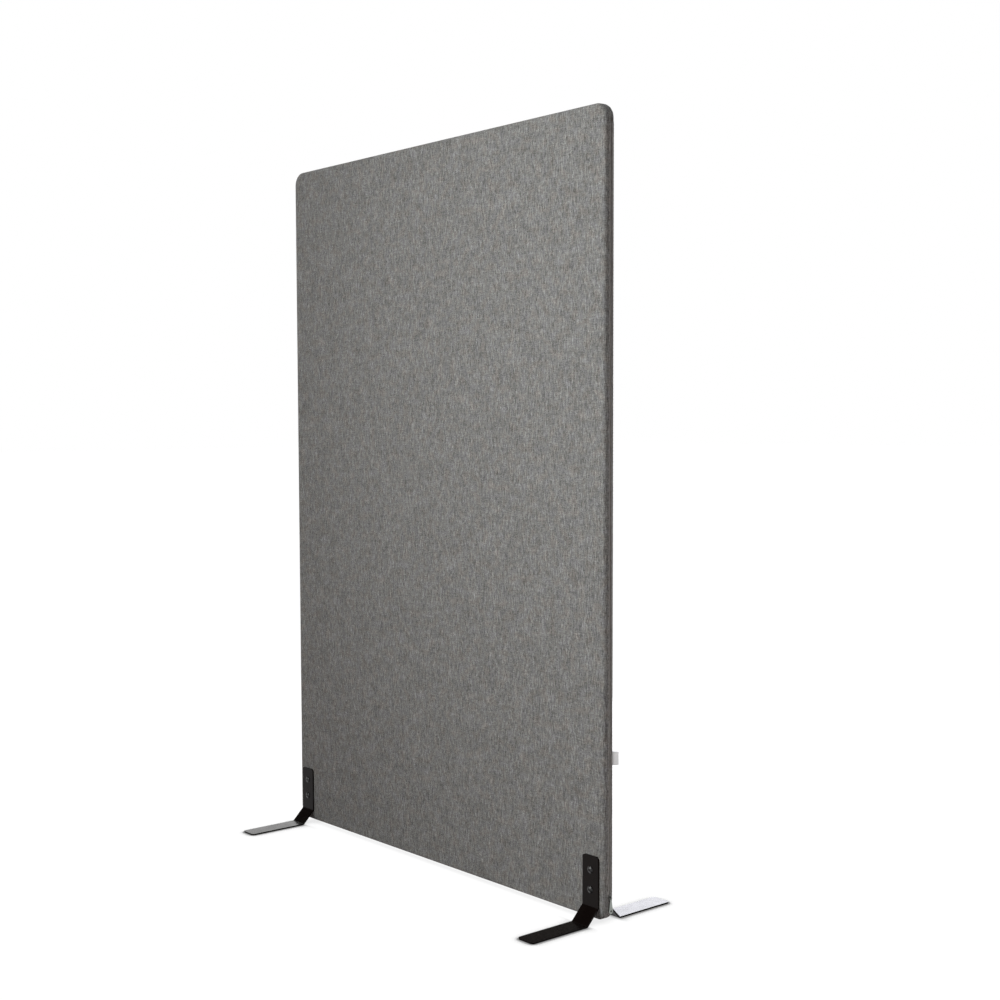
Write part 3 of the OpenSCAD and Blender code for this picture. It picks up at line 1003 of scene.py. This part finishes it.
@dataclass
class Edge:
    """The panel's soft edge in section, measured along the cloth from the face to the side."""

    half_w: float
    face_y: float
    radius: float = 8 * MM

    @property
    def side_y(self) -> float:
        """Distance from the middle plane at which the round meets the flat side."""
        return self.face_y - self.radius

    def length_to(self, reach: Length) -> Length:
        """Length of cloth from the face's edge to a distance from the middle plane."""
        high = np.clip((reach - self.side_y) / self.radius, 0.0, 1.0)
        return self.radius * (math.pi / 2 - np.arcsin(high)) + np.maximum(self.side_y - reach, 0.0)

    def at(self, run: Length) -> tuple[Array, Array, Array, Array]:
        """The place and the outward direction at a length from the face's edge.

        Args:
            run: the length along the cloth.

        Returns:
            Inset from the side, distance from the middle plane, and the direction's two parts.
        """
        angle = np.clip(run / self.radius, 0.0, math.pi / 2)
        inset = self.radius * (1 - np.sin(angle))
        depth = self.side_y + self.radius * np.cos(angle)
        depth = depth - np.maximum(run - self.radius * math.pi / 2, 0.0)
        return inset, depth, np.sin(angle), np.cos(angle)


@dataclass
class Covers:
    """The two halves of the cloth cover, sewn at a seam round the edge and open at the zip."""

    seam_y: float = 4 * MM
    opening_half: float = 4.6 * MM
    opening_z: Span = (50 * MM, 1797 * MM)
    corner_r: float = 34 * MM
    full_corner_r: float = 24 * MM
    cloth_t: float = 0.4 * MM
    proud: float = 0.3 * MM
    rim_drop: float = 0.45 * MM
    rim_ease: Span = (4 * MM, 34 * MM)
    rim_fade: float = 5 * MM
    # each wave's rise, its count per metre across and up, and what shifts its draw
    waves: tuple[tuple[float, ...], ...] = ((0.16 * MM, 5.0, 4.0, 0.0),
                                            (0.07 * MM, 19.0, 13.0, 5.0))
    foot_x: float = 569.5 * MM
    foot_top: float = 155 * MM
    foot_half: float = 25 * MM
    foot_ease: float = 16 * MM
    pleats: float = 16.0
    pleat_rise: float = 0.22 * MM
    pleat_ease: float = 8 * MM
    pleat_spread: float = 25.0
    lip_ease: float = 3 * MM
    # the hem in mm: steps back from its end, and its rise there by the zip and at the seam
    hem_steps: tuple[float, ...] = (0.0, 0.12, 0.45, 1.1, 2.4, 4.2, 4.9, 5.4, 6.6)
    lip_rise: tuple[float, ...] = (-0.62, -0.2, 0.22, 0.5, 0.5, 0.46, 0.2, -0.1, 0.0)
    seam_rise: tuple[float, ...] = (-0.85, -0.55, -0.2, 0.08, 0.14, 0.1, 0.06, 0.02, 0.0)
    face_insets: tuple[float, ...] = (11 * MM, 14.5 * MM, 19 * MM, 25 * MM)
    step: float = 9.5 * MM
    end_steps: tuple[float, ...] = (0.0, 0.25, 0.8, 1.6, 2.8, 4.6, 6.5)  # mm
    least_step: float = 1.2 * MM
    round_steps: int = 12
    corner_steps: int = 14
    stitch_pitch: float = 8.1 * MM
    stitch_back: float = 2.3 * MM
    stitch_lift: float = 0.52 * MM
    stitch_end: float = 9 * MM
    stitch_turn: Triple = (0.03, 0.04, 0.03)
    stitch_growth: float = 0.06
    stitch_seed: int = 5
    stitch_sides: int = 7
    # each ring's place along the stitch, its rise and its radius, in mm
    stitch_rings: tuple[Triple, ...] = (
        (-2.7, -0.45, 0.12), (-2.2, -0.08, 0.32), (-0.9, 0.1, 0.4), (0.9, 0.1, 0.4),
        (2.2, -0.08, 0.32), (2.7, -0.45, 0.12))
    wave_seed: float = 3.0
    turned_in: Span = (11 * MM, 3 * MM)  # the front's, the rear's
    edge: Edge = field(init=False)

    def __post_init__(self) -> None:
        """Reads the panel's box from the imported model."""
        low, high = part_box("cover_front")
        self.mid_z = (low.z + high.z) / 2
        self.half_h = (high.z - low.z) / 2
        self.edge = Edge(half_w=high.x, face_y=-low.y)

    def grid_lines(self) -> tuple[Array, Array]:
        """Spaces the face's grid lines.

        Returns:
            Places across, and places up from the middle, which are closer at the zip's ends.
        """
        half_x, half_z = self.edge.half_w - self.corner_r, self.half_h - self.corner_r
        xs, zs = (np.linspace(-half, half, round(2 * half / self.step) + 1)
                  for half in (half_x, half_z))
        ends = np.array(self.end_steps) * MM
        extra = np.concatenate([self.opening_z[0] + ends, self.opening_z[1] - ends]) - self.mid_z
        keep = [z for z in zs if np.abs(extra - z).min() > self.least_step
                or abs(abs(z) - half_z) < TINY]
        return xs, np.unique(np.concatenate([keep, extra]).round(7))

    def outline(self, xs: Array, zs: Array) -> tuple[Array, Array, Array]:
        """Rows round the panel, from the lower right corner up and round.

        Args:
            xs: the face's upright grid lines.
            zs: its level grid lines.

        Returns:
            The inner points, the outward directions, and the number of each row's grid point.
        """
        last_x, last_z = len(xs) - 1, len(zs) - 1
        sides = (
            [(last_x, k) for k in range(last_z + 1)],
            [(last_x - k, last_z) for k in range(last_x + 1)],
            [(0, last_z - k) for k in range(last_z + 1)],
            [(k, 0) for k in range(last_x + 1)],
        )
        rows = []
        for quarter, side in enumerate(sides):
            round_it = [(side[-1], k) for k in range(1, self.corner_steps)]
            for (ix, iz), k in [(spot, 0) for spot in side] + round_it:
                turn = math.radians(QUARTER * quarter + QUARTER * k / self.corner_steps)
                rows.append((xs[ix], zs[iz], math.cos(turn), math.sin(turn), ix * len(zs) + iz))
        table = np.array(rows)
        return table[:, :2], table[:, 2:4], table[:, 4].astype(int)

    def edge_reach(self, side: Side, inner: Array, out: Array) -> tuple[Array, Array]:
        """Where each row's cloth ends, and how much of a zip lip it has.

        Args:
            side: the face.
            inner: the rows' inner points.
            out: their directions.

        Returns:
            Distance of the end from the middle plane towards the face, and the lip's share.
        """
        height = inner[:, 1] + self.mid_z
        low, high = self.opening_z
        near = np.minimum(height - low, high - height)
        inside = (out[:, 0] > 1 - CLOSE) & (near > -CLOSE)
        drop = np.clip(self.opening_half - near, 0.0, self.opening_half)
        half = np.sqrt(np.maximum(self.opening_half ** 2 - drop ** 2, 0.0))
        end = side.value * self.seam_y + np.where(inside, half, 0.0)
        return end, np.where(inside, smooth_step(near / self.lip_ease), 0.0)

    def swell(self, x: Array, z: Array, seed: float) -> Array:
        """How far the face stands proud: in soft waves, and pressed flat under the feet.

        Args:
            x: places across.
            z: heights above the floor.
            seed: what the waves are drawn from.

        Returns:
            The rise at each place.
        """
        waves = sum(rise * np.array([noise.noise(Vector((px * wide, pz * high, seed + skip)))
                                     for px, pz in zip(x, z)])
                    for rise, wide, high, skip in self.waves)
        rim = np.minimum(self.edge.half_w - np.abs(x), self.half_h - np.abs(z - self.mid_z))
        soft = smooth_step((rim - self.rim_ease[0]) / self.rim_ease[1])
        off_x = np.maximum(np.abs(np.abs(x) - self.foot_x) - self.foot_half, 0.0)
        off_z = np.maximum(z - self.foot_top, 0.0)
        pressed = smooth_step(np.hypot(off_x, off_z) / self.foot_ease)
        return (self.proud + waves * soft - self.rim_drop * (1 - soft)) * pressed

    def filled(self, place: Array) -> Array:
        """Moves the cloth outwards at the lower corner by the zip, which is stuffed fuller.

        Args:
            place: places across and up from the middle.

        Returns:
            The moved places.
        """
        centre = np.array([self.edge.half_w - self.corner_r, self.corner_r - self.half_h])
        away = place - centre
        far = np.linalg.norm(away, axis=1)
        inside = (away[:, 0] > TINY) & (away[:, 1] < -TINY)
        turn = np.where(far[:, None] > TINY, away / np.maximum(far, TINY)[:, None], 0.0)
        shift = self.corner_r - self.full_corner_r
        along = shift * (turn[:, 0] - turn[:, 1])
        root = np.maximum(self.full_corner_r ** 2 - 2 * shift ** 2 + along ** 2, 0.0)
        square = self.corner_r / np.maximum(np.abs(turn).max(axis=1), TINY)
        beside = np.abs(turn).min(axis=1) * square < shift
        reach = np.where(beside, square, along + np.sqrt(root))
        grown = 1 + (reach / self.corner_r - 1) * smooth_step(far / self.corner_r)
        return np.where(inside[:, None], centre + away * grown[:, None], place)

    def face_rows(self, side: Side, places: list[Array]) -> list[Array]:
        """Lays rows of cloth on the face.

        Args:
            side: the face.
            places: each row's places across and up from the middle.

        Returns:
            Each row's points.
        """
        rows = []
        for x, z in (place.T for place in places):
            swell = self.swell(x, z + self.mid_z, self.wave_seed + side.value)
            rows.append(np.stack([x, side.value * (self.edge.face_y + swell), z + self.mid_z],
                                 axis=1))
        return rows

    def edge_rows(self, side: Side, inner: Array, out: Array) -> tuple[list[Array], list[Array]]:
        """Lays rows of cloth round the edge, up to the zip's lip or the seam.

        Args:
            side: the face that they come from.
            inner: the outline's inner points.
            out: the outline's directions.

        Returns:
            Each row's points, and their places on the flat cloth.
        """
        end, lip = self.edge_reach(side, inner, out)
        whole = self.edge.length_to(end)
        hem, lip_rise, seam_rise = (np.array(steps[::-1]) * MM for steps in (
            self.hem_steps, self.lip_rise, self.seam_rise))
        angle = np.degrees(np.arctan2(out[:, 1], out[:, 0])) % QUARTER
        at_corner = smooth_step(np.minimum(angle, QUARTER - angle) / self.pleat_spread)
        pleat = at_corner * np.cos(np.radians(angle) * self.pleats)
        runs = [((whole - hem[0]) * k / self.round_steps, 0.0) for k in range(self.round_steps)]
        runs += [(whole - back, lip * a + (1 - lip) * b)
                 for back, a, b in zip(hem, lip_rise, seam_rise)]
        points, flats = [], []
        for run, rise in runs:
            inset, depth, to_side, to_face = self.edge.at(run)
            start = (self.proud - self.rim_drop) * np.exp(-run / self.rim_fade)
            lift = rise + start + self.pleat_rise * pleat * smooth_step(run / self.pleat_ease)
            place = self.filled(inner + out * (self.corner_r - inset + lift * to_side)[:, None])
            y = side.value * (depth + lift * to_face)
            points.append(np.stack([place[:, 0], y, place[:, 1] + self.mid_z], axis=1))
            flats.append(inner + out * (self.corner_r - self.edge.radius + run)[:, None])
        return points, flats

    def half(self, side: Side) -> Piece:
        """Builds one half of the cover.

        Args:
            side: the face that it covers.

        Returns:
            The cloth as a closed thin shell.
        """
        xs, zs = self.grid_lines()
        inner, out, numbers = self.outline(xs, zs)
        grid = np.stack([a.ravel() for a in np.meshgrid(xs, zs, indexing="ij")], axis=1)
        places = [grid] + [self.filled(inner + out * (self.corner_r - inset))
                           for inset in self.face_insets[::-1]]
        edge_points, edge_flats = self.edge_rows(side, inner, out)
        points = self.face_rows(side, places) + edge_points

        count = len(inner)
        rings = [numbers] + [len(grid) + k * count + np.arange(count)
                             for k in range(len(points) - 1)]
        faces = [[a, d, c, b] for a, b, c, d in grid_faces(len(xs), len(zs))]
        for first, second in zip(rings, rings[1:]):
            for k in range(count):
                after = (k + 1) % count
                quad = [first[k], second[k], second[after], first[after]]
                faces.append([q for n, q in enumerate(quad) if q not in quad[:n]])
        if side is Side.REAR:
            faces = [face[::-1] for face in faces]
        cloth = mesh_object(f"cloth_cover_{side.word}", np.concatenate(points), faces,
                            np.concatenate(places + edge_flats))
        return thickened(cloth, self.cloth_t, -1.0)

    def stitches(self, repeater: PathRepeater, side: Side) -> Piece:
        """Sews the hem of one zip lip.

        Args:
            repeater: what sets the stitches out.
            side: the face that the lip belongs to.

        Returns:
            The line of stitches.
        """
        reach = side.value * self.seam_y + self.opening_half
        inset, depth, to_side, to_face = (float(part) for part in self.edge.at(
            np.array(self.edge.length_to(reach) - self.stitch_back)))
        x = self.edge.half_w - inset + self.stitch_lift * to_side
        y = side.value * (depth + self.stitch_lift * to_face)
        low, high = self.opening_z
        path = [(x, y, low + self.stitch_end), (x, y, high - self.stitch_end)]
        facing = (to_side, side.value * to_face, 0.0)
        return repeater.along(f"hem_stitches_{side.word}", path, self.stitch(),
                              self.stitch_pitch, THREAD, facing, self.stitch_turn,
                              self.stitch_growth, self.stitch_seed + side.value)

    def stitch(self) -> Piece:
        """Makes one stitch, whose ends dive into the cloth.

        Returns:
            The stitch, along Z.
        """
        turns = [math.tau * k / self.stitch_sides for k in range(self.stitch_sides)]
        rings = np.array([[(rise + size * math.cos(t), size * math.sin(t), z) for t in turns]
                          for z, rise, size in self.stitch_rings]) * MM
        return prism("stitch", rings)

    def make(self, repeater: PathRepeater) -> None:
        """Builds and dresses both halves and their hems.

        Args:
            repeater: what sets the stitches out.
        """
        for side, turned in zip(Side, self.turned_in):
            cloth = dress(self.half(side), CLOTH, "cover_fabric", Body.PANEL,
                          f"cover_{side.word}")
            hem = dress(self.stitches(repeater, side), THREAD, "cover_fabric", Body.PANEL)


@dataclass
class ZipRun:
    """The zip in the right-hand edge: two woven tapes, two rows of teeth and the stops."""

    edge: Edge
    tape_t: float = 0.6 * MM
    tape_depth: float = 0.7 * MM
    tape_rib: float = 0.035 * MM
    tape_points: int = 15
    tape_rings: int = 240
    pitch: float = 2.2 * MM
    row_end: float = 1 * MM
    tooth_turn: float = 0.015
    tooth_growth: float = 0.01
    tooth_seed: int = 11
    # a tooth in mm: its outline in y and z, and each layer's x and the outline's share there
    tooth_outline: tuple[Span, ...] = (
        (-1.2, -0.72), (0.1, -0.72), (0.35, -0.4), (0.7, -0.4), (0.95, -0.66), (1.28, -0.38),
        (1.28, 0.38), (0.95, 0.66), (0.7, 0.4), (0.35, 0.4), (0.1, 0.72), (-1.2, 0.72))
    tooth_layers: tuple[Span, ...] = ((-1.3, 0.82), (-1.05, 1.0), (1.05, 1.0), (1.3, 0.82))
    stop_round: float = 0.2 * MM

    def tape(self, side: Side) -> Piece:
        """Builds one tape, bent with the panel's edge, with fine ribs on its outside.

        Args:
            side: the cover that it is sewn to.

        Returns:
            The tape as a closed strip.
        """
        low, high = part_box(f"zip_tape_{side.word}")
        ys = np.linspace(low.y, high.y, self.tape_points)
        over = np.maximum(np.abs(ys) - self.edge.side_y, 0.0)
        outer, inner = (
            self.edge.half_w - self.edge.radius
            + np.sqrt((self.edge.radius - depth) ** 2 - over ** 2)
            for depth in (self.tape_depth, self.tape_depth + self.tape_t))
        ribs = self.tape_rib * np.cos(np.arange(len(ys)) * math.pi)
        section = np.concatenate([np.stack([outer + ribs, ys], axis=1),
                                  np.stack([inner, ys], axis=1)[::-1]])
        rings = np.zeros((self.tape_rings, len(section), 3))
        rings[:, :, :2] = section
        rings[:, :, 2] = np.linspace(low.z, high.z, self.tape_rings)[:, None]
        return prism(f"zip_tape_woven_{side.word}", rings)

    def tooth(self, side: Side) -> Piece:
        """Makes one tooth, clamped on the tape's edge, its head towards the other row.

        Args:
            side: the row that it belongs to.

        Returns:
            The tooth about the row's middle line.
        """
        rings = np.array([[(x, -side.value * y * size, z * size) for y, z in self.tooth_outline]
                          for x, size in self.tooth_layers]) * MM
        return prism("tooth", rings)

    def teeth(self, repeater: PathRepeater, side: Side) -> Piece:
        """Sets out one row of teeth, half a pitch higher at the rear.

        Args:
            repeater: what sets them out.
            side: the row.

        Returns:
            The row.
        """
        low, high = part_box(f"zip_teeth_{side.word}")
        shift = 0.0 if side is Side.FRONT else self.pitch / 2
        middle = (low + high) / 2
        path = [(middle.x, middle.y, low.z + self.row_end + shift),
                (middle.x, middle.y, high.z - self.row_end)]
        return repeater.along(f"zip_teeth_row_{side.word}", path, self.tooth(side),
                              self.pitch, TEETH, turn=(self.tooth_turn,) * 3,
                              growth=self.tooth_growth, seed=self.tooth_seed + side.value)

    def make(self, repeater: PathRepeater) -> None:
        """Builds and dresses the tapes, the teeth and the stops.

        Args:
            repeater: what sets the teeth out.
        """
        for side in Side:
            dress(self.tape(side), TAPE, "zip_tape", Body.PANEL, f"zip_tape_{side.word}")
            dress(self.teeth(repeater, side), TEETH, "zip_teeth", Body.PANEL,
                  f"zip_teeth_{side.word}")
        for end in ("bottom", "top"):
            dress(softened(f"zip_{end}_stop", f"zip_{end}_clamp", self.stop_round), STOPS,
                  "zip_stops", Body.PANEL, f"zip_{end}_stop")


@dataclass
class SliderAndPull:
    """The slider that runs on the teeth, and the pull that swings in its bridge."""

    slider_round: float = 0.35 * MM
    pull_round: float = 0.3 * MM
    round_steps: int = 3

    def make(self) -> None:
        """Builds and dresses both pieces."""
        dress(softened("zip_slider", "slider_body", self.slider_round, self.round_steps),
              SLIDER, "slider_metal", Body.SLIDER, "zip_slider")
        dress(softened("zip_pull", "pull_tab", self.pull_round, self.round_steps),
              PULL, "pull_metal", Body.PULL, "zip_pull")


@dataclass
class Feet:
    """The four bent straps, and the domed bolts and sleeve nuts that hold them."""

    strap_round: float = 0.25 * MM
    strap_steps: int = 3
    head_round: float = 0.35 * MM

    def make(self) -> None:
        """Builds and dresses the straps, the bolts and the sleeve nuts."""
        for end in ("front_left", "front_right", "rear_left", "rear_right"):
            dress(softened(f"foot_{end}", f"strap_{end}", self.strap_round, self.strap_steps),
                  FOOT_COAT, "foot_steel", Body.PANEL, f"foot_{end}")
        for node, name in (("foot_bolts", "domed_bolts"), ("sleeve_nuts", "domed_sleeve_nuts")):
            dress(softened(node, name, self.head_round), BOLT_COAT, "bolt_black", Body.PANEL, node)


@dataclass
class SideLabel:
    """The blank folded label sewn into the rear cover's edge."""

    edge: Edge
    cloth_t: float = 0.3 * MM
    flat: Span = (38 * MM, 31 * MM)
    sewn_in: float = 3 * MM
    reach: float = 14.5 * MM
    bend_r: float = 6.4 * MM
    turn: float = math.radians(45)
    curl: float = 0.35 * MM
    curl_phase: Span = (0.2, 1.5)
    rows: int = 14
    straight_points: int = 13
    fold_turns: tuple[float, ...] = (-67.5, -45.0, -22.5, 0.0, 22.5, 45.0, 67.5)

    def swept(self, x: float, y: float) -> Span:
        """Carries a place on the straight ribbon to the ribbon that bends back past the edge.

        Args:
            x: the place along X.
            y: its distance from the ribbon's middle layer.

        Returns:
            The place on the bent ribbon.
        """
        run = max(0.0, x - self.edge.half_w)
        angle = min(run / self.bend_r, self.turn)
        rest = max(0.0, run - self.turn * self.bend_r)
        side, back = math.sin(angle), math.cos(angle)
        start = min(x, self.edge.half_w)
        return (start + self.bend_r * side + rest * back - y * side,
                self.bend_r * (1 - back) + rest * side + y * back)

    def path(self, fold: float) -> list[Span]:
        """Runs out along one layer of the straight ribbon, round its fold and back.

        Args:
            fold: half the distance between the layers.

        Returns:
            Points of the ribbon's section.
        """
        start = self.edge.half_w - self.edge.radius + self.sewn_in
        tip = self.edge.half_w + self.reach - self.cloth_t / 2 - fold
        straight = np.linspace(start, tip, self.straight_points)
        turns = [math.radians(turn) for turn in self.fold_turns]
        return ([(x, -fold) for x in straight]
                + [(tip + fold * math.cos(t), fold * math.sin(t)) for t in turns]
                + [(x, fold) for x in straight[::-1]])

    def make(self) -> None:
        """Builds the folded ribbon and dresses it."""
        low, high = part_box("side_label")
        path = self.path((high.y - low.y - self.cloth_t) / 2)
        lengths = np.linalg.norm(np.diff(path, axis=0), axis=1)
        points, flats = [], []
        for z in np.linspace(low.z, high.z, self.rows):
            share = (z - low.z) / (high.z - low.z)
            for (x, y), length in zip(path, [0.0, *np.cumsum(lengths)]):
                out = max(0.0, (x - self.edge.half_w) / self.reach)
                phase = self.curl_phase[0] + share * (self.curl_phase[1] - self.curl_phase[0])
                curl = self.curl * out * math.sin(math.pi * phase)
                bent_x, bent_y = self.swept(x, y + curl)
                points.append((bent_x, (low.y + high.y) / 2 + bent_y, z))
                flats.append((length, z))
        ribbon = mesh_object("folded_label", points, grid_faces(self.rows, len(path)),
                             np.array(flats))
        dress(thickened(ribbon, self.cloth_t, 0.0), LABEL, "label_cloth", Body.PANEL,
              "side_label")


@dataclass
class Inside:
    """What the cover hides: the lapped frame, its screws, the felt, the batt and the spacers."""

    batt_soft: float = 2.2 * MM
    batt_cuts: int = 23
    batt_dents: Triple = (9.0, 13.0, 2.0)
    batt_skip: float = 7.0
    batt_hollow: float = 0.8
    batt_even: float = 0.4
    batt_skin: float = 0.1
    batt_rim: float = 9.0
    batt_fill: float = 0.8

    def batt(self) -> Piece:
        """Builds the fibre batt: a soft slab with uneven faces, inside its CAD box.

        Returns:
            The batt.
        """
        low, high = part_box("acoustic_core")
        centre, half = (low + high) / 2, (high - low) / 2
        shape = bmesh.new()
        bmesh.ops.create_cube(shape, size=2.0)
        bmesh.ops.subdivide_edges(shape, edges=shape.edges, cuts=self.batt_cuts,
                                  use_grid_fill=True)
        for vert in shape.verts:
            unit = vert.co.copy()
            near = [1 - abs(c) for c in unit]
            across, up, through = self.batt_dents
            dent = 0.5 + 0.5 * noise.noise(Vector((
                unit.x * across, unit.z * up, unit.y * through + self.batt_skip)))
            inner = float(smooth_step(min(near[0], near[2]) * self.batt_rim))
            uneven = self.batt_even + (1 - self.batt_even) * dent
            depths = (dent * (near[0] < CLOSE),
                      (1 - self.batt_hollow * inner) * uneven * (near[1] < self.batt_skin),
                      dent * (near[2] < CLOSE))
            vert.co = Vector(m + c * h - math.copysign(self.batt_soft * depth, c)
                             for m, c, h, depth in zip(centre, unit, half, depths))
        made = shape_object("fibre_batt_slab", shape)
        made.data.shade_smooth()
        return made

    def make(self) -> None:
        """Builds the batt, and gives the CAD nodes of the frame their finishes."""
        dress(self.batt(), BATT, "fibre_batt", Body.PANEL, "acoustic_core")
        finishes = {
            "frame_top_rail": TIMBER_LEVEL, "frame_bottom_rail": TIMBER_LEVEL,
            "frame_left_stile": TIMBER_UP, "frame_right_stile": TIMBER_UP,
            "corner_screws": BRASS, "front_facing": FELT, "rear_facing": FELT,
            "bolt_spacers": ZINC,
        }
        for name, finish in finishes.items():
            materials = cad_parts[name].data.materials
            materials.clear()
            materials.append(finish.material())
            log.info("%s: CAD node, %s", name, finish.name)


@dataclass(frozen=True)
class Lamp:
    """A soft square lamp that stands at a place and faces a point, with its side and watts."""

    name: str
    place: Triple
    aim: Triple
    size: float
    power: float
    tint: Colour = (1.0, 1.0, 1.0)

    def light(self) -> bpy.types.Light:
        """Makes its light.

        Returns:
            The light, square and soft.
        """
        made = bpy.data.lights.new(self.name, "AREA")
        made.shape, made.size = "SQUARE", self.size
        return made

    def stand(self) -> None:
        """Stands the lamp up, unseen by the camera."""
        data = self.light()
        data.energy, data.color = self.power, self.tint
        lamp = in_scene(self.name, data)
        ahead = (Vector(self.aim) - Vector(self.place)).normalized()
        turn = ahead.to_track_quat("-Z", "Y").to_matrix().to_4x4()
        lamp.matrix_world = Matrix.Translation(self.place) @ turn
        lamp.visible_camera = False


@dataclass(frozen=True)
class Spot(Lamp):
    """A spot, whose size is its cone in degrees; its cone and its shadows have soft edges."""

    radius: float = 1.3
    blend: float = 1.0

    def light(self) -> bpy.types.Light:
        """Makes its light.

        Returns:
            The light, a cone that fades outwards.
        """
        made = bpy.data.lights.new(self.name, "SPOT")
        made.spot_size, made.spot_blend = math.radians(self.size), self.blend
        made.shadow_soft_size = self.radius
        return made


@dataclass
class Studio:
    """The camera at the photograph's angle, the pale floor, and the soft lamps."""

    eye: Triple = (2.9416, -2.3894, 1.1340)
    yaw: float = 50.6114
    pitch: float = 3.7314
    roll: float = -0.2851
    lens: float = 53.748
    sensor: float = 36.0
    shift: Span = (0.05515, 0.02188)
    clip: Span = (0.05, 100.0)
    floor_half: float = 60.0
    floor_glow: float = 0.95
    floor_seen: float = 0.14
    floor_grey: float = 0.34
    floor_rough: float = 0.9
    floor_warmth: Colour = (1.22, 0.94, 0.92)
    shade_reach: float = 0.04
    shade_samples: int = 16
    feet_zone: Span = (0.48, 0.52)
    tread_zone: Span = (0.04, 0.055)
    strong_shade: tuple[Span, Span] = ((0.9, 1.0), (0.24, 1.0))
    light_shade: tuple[Span, Span] = ((0.1, 0.6), (0.78, 1.0))
    ambient: float = 0.47
    ambient_tint: Colour = (1.0, 0.985, 0.97)
    ceiling: float = 0.06
    ceiling_rise: Span = (0.1, 0.5)
    lamps: tuple[Lamp, ...] = (
        Spot("key_spot", (-0.45, -3.0, 1.75), (1.5, 0.0, 1.65), 94.0, 566.0),
        Lamp("right_fill", (3.3, 0.9, 0.9), (0.6, 0.0, 0.9), 1.2, 8.0),
        Lamp("low_glint", (2.3, -1.5, 0.35), (0.57, 0.0, 0.1), 0.9, 3.0),
        Lamp("rear_softbox", (-1.1, 1.95, 0.85), (0.57, 0.13, 0.0), 1.5, 57.0,
             (0.97, 0.975, 1.04)),
        Lamp("left_softbox", (-2.7, 1.1, 0.75), (-0.57, -0.13, 0.0), 1.0, 5.2),
    )

    def camera(self) -> None:
        """Sets the camera."""
        yaw, pitch, roll = (math.radians(a) for a in (self.yaw, self.pitch, self.roll))
        ahead = Vector((-math.sin(yaw) * math.cos(pitch), math.cos(yaw) * math.cos(pitch),
                        -math.sin(pitch)))
        level = Vector((math.cos(yaw), math.sin(yaw), 0.0))
        up = level.cross(ahead)
        right = math.cos(roll) * level + math.sin(roll) * up
        top = -math.sin(roll) * level + math.cos(roll) * up
        data = bpy.data.cameras.new("studio_camera")
        data.lens, data.sensor_width = self.lens, self.sensor
        data.shift_x, data.shift_y = self.shift
        data.clip_start, data.clip_end = self.clip
        camera = in_scene("studio_camera", data)
        turn = Matrix((right, top, -ahead)).transposed()
        camera.matrix_world = Matrix.Translation(self.eye) @ turn.to_4x4()
        bpy.context.scene.camera = camera

    def backdrop(self) -> None:
        """Makes the world white to the camera and in gloss, where it darkens to a ceiling.

        The rest of the rays get a low even light.
        """
        world = bpy.data.worlds.new("studio_world")
        bpy.context.scene.world = world
        world.use_nodes = True
        graph = Graph(world.node_tree)
        rays = graph.outputs("ShaderNodeLightPath")
        mirrored = rays["Is Glossy Ray"]
        seen = graph.math("MAXIMUM", rays["Is Camera Ray"], rays["Is Transmission Ray"])
        height = graph.parts(graph.get("ShaderNodeTexCoord", output="Generated"))[2]
        wall = mirrored * graph.remap(height, self.ceiling_rise, (1.0, self.ceiling))
        unseen = graph.math("MAXIMUM", wall, (1.0 - mirrored) * self.ambient)
        background = world.node_tree.nodes["Background"]
        graph.link(graph.mix(seen, self.ambient_tint, (1.0, 1.0, 1.0)),
                   background.inputs["Color"])
        graph.link(graph.math("MAXIMUM", seen, unseen), background.inputs["Strength"])

    def floor(self) -> None:
        """Lays the pale floor: white to the camera and in gloss, but for the shade by the feet,
        which is painted into its glow.
        """
        made = bpy.data.materials.new("studio_floor")
        made.use_nodes = True
        graph = Graph(made.node_tree)
        rays = graph.outputs("ShaderNodeLightPath")
        seen = graph.math("MAXIMUM", rays["Is Camera Ray"], graph.math(
            "MAXIMUM", rays["Is Glossy Ray"], rays["Is Transmission Ray"]))
        shader = made.node_tree.nodes["Principled BSDF"]
        for name, value in (("Roughness", self.floor_rough), ("Specular IOR Level", 0.0),
                            ("Emission Color", (1.0, 1.0, 1.0, 1.0))):
            shader.inputs[name].default_value = value
        warm = tuple(self.floor_grey * share for share in self.floor_warmth)
        graph.link(graph.mix(seen, warm, (self.floor_seen,) * 3), shader.inputs["Base Color"])
        # painted shadow: the glow is darkened by ambient occlusion, strongly only in zones round
        # the feet and their treads, lightly elsewhere
        near = graph.get("ShaderNodeAmbientOcclusion", {"Distance": self.shade_reach}, "AO",
                         samples=self.shade_samples)
        across, along, _ = graph.parts(graph.place())
        by_foot, by_tread = (graph.remap(graph.math("ABSOLUTE", away), zone, FULL)
                             for away, zone in ((across, self.feet_zone),
                                                (along, self.tread_zone)))
        painted_shadow_factor = graph.pick(by_foot * by_tread, graph.remap(near, *self.light_shade),
                              graph.remap(near, *self.strong_shade))
        graph.link(painted_shadow_factor * seen * self.floor_glow, shader.inputs["Emission Strength"])
        half = self.floor_half
        floor = mesh_object("floor", [(-half, -half, 0), (half, -half, 0), (half, half, 0),
                                      (-half, half, 0)], [(0, 1, 2, 3)])
        floor.data.materials.append(made)

    def make(self) -> None:
        """Sets up the whole studio."""
        self.camera()
        self.backdrop()
        self.floor()
        for lamp in self.lamps:
            lamp.stand()
        bpy.context.scene.view_settings.view_transform = "Standard"


def main() -> None:
    """Builds the studio and every sub-assembly."""
    Studio().make()
    repeater = PathRepeater()
    covers = Covers()
    assemblies: list[tuple[str, Callable[[], None]]] = [
        ("covers", lambda: covers.make(repeater)),
        ("zip run", lambda: ZipRun(covers.edge).make(repeater)),
        ("slider and pull", SliderAndPull().make),
        ("feet", Feet().make),
        ("side label", SideLabel(covers.edge).make),
        ("inside", Inside().make),
    ]
    for name, make in assemblies:
        make()
        log.info("%s: done", name)
    bpy.context.view_layer.update()


if __name__ == "__main__":
    main()
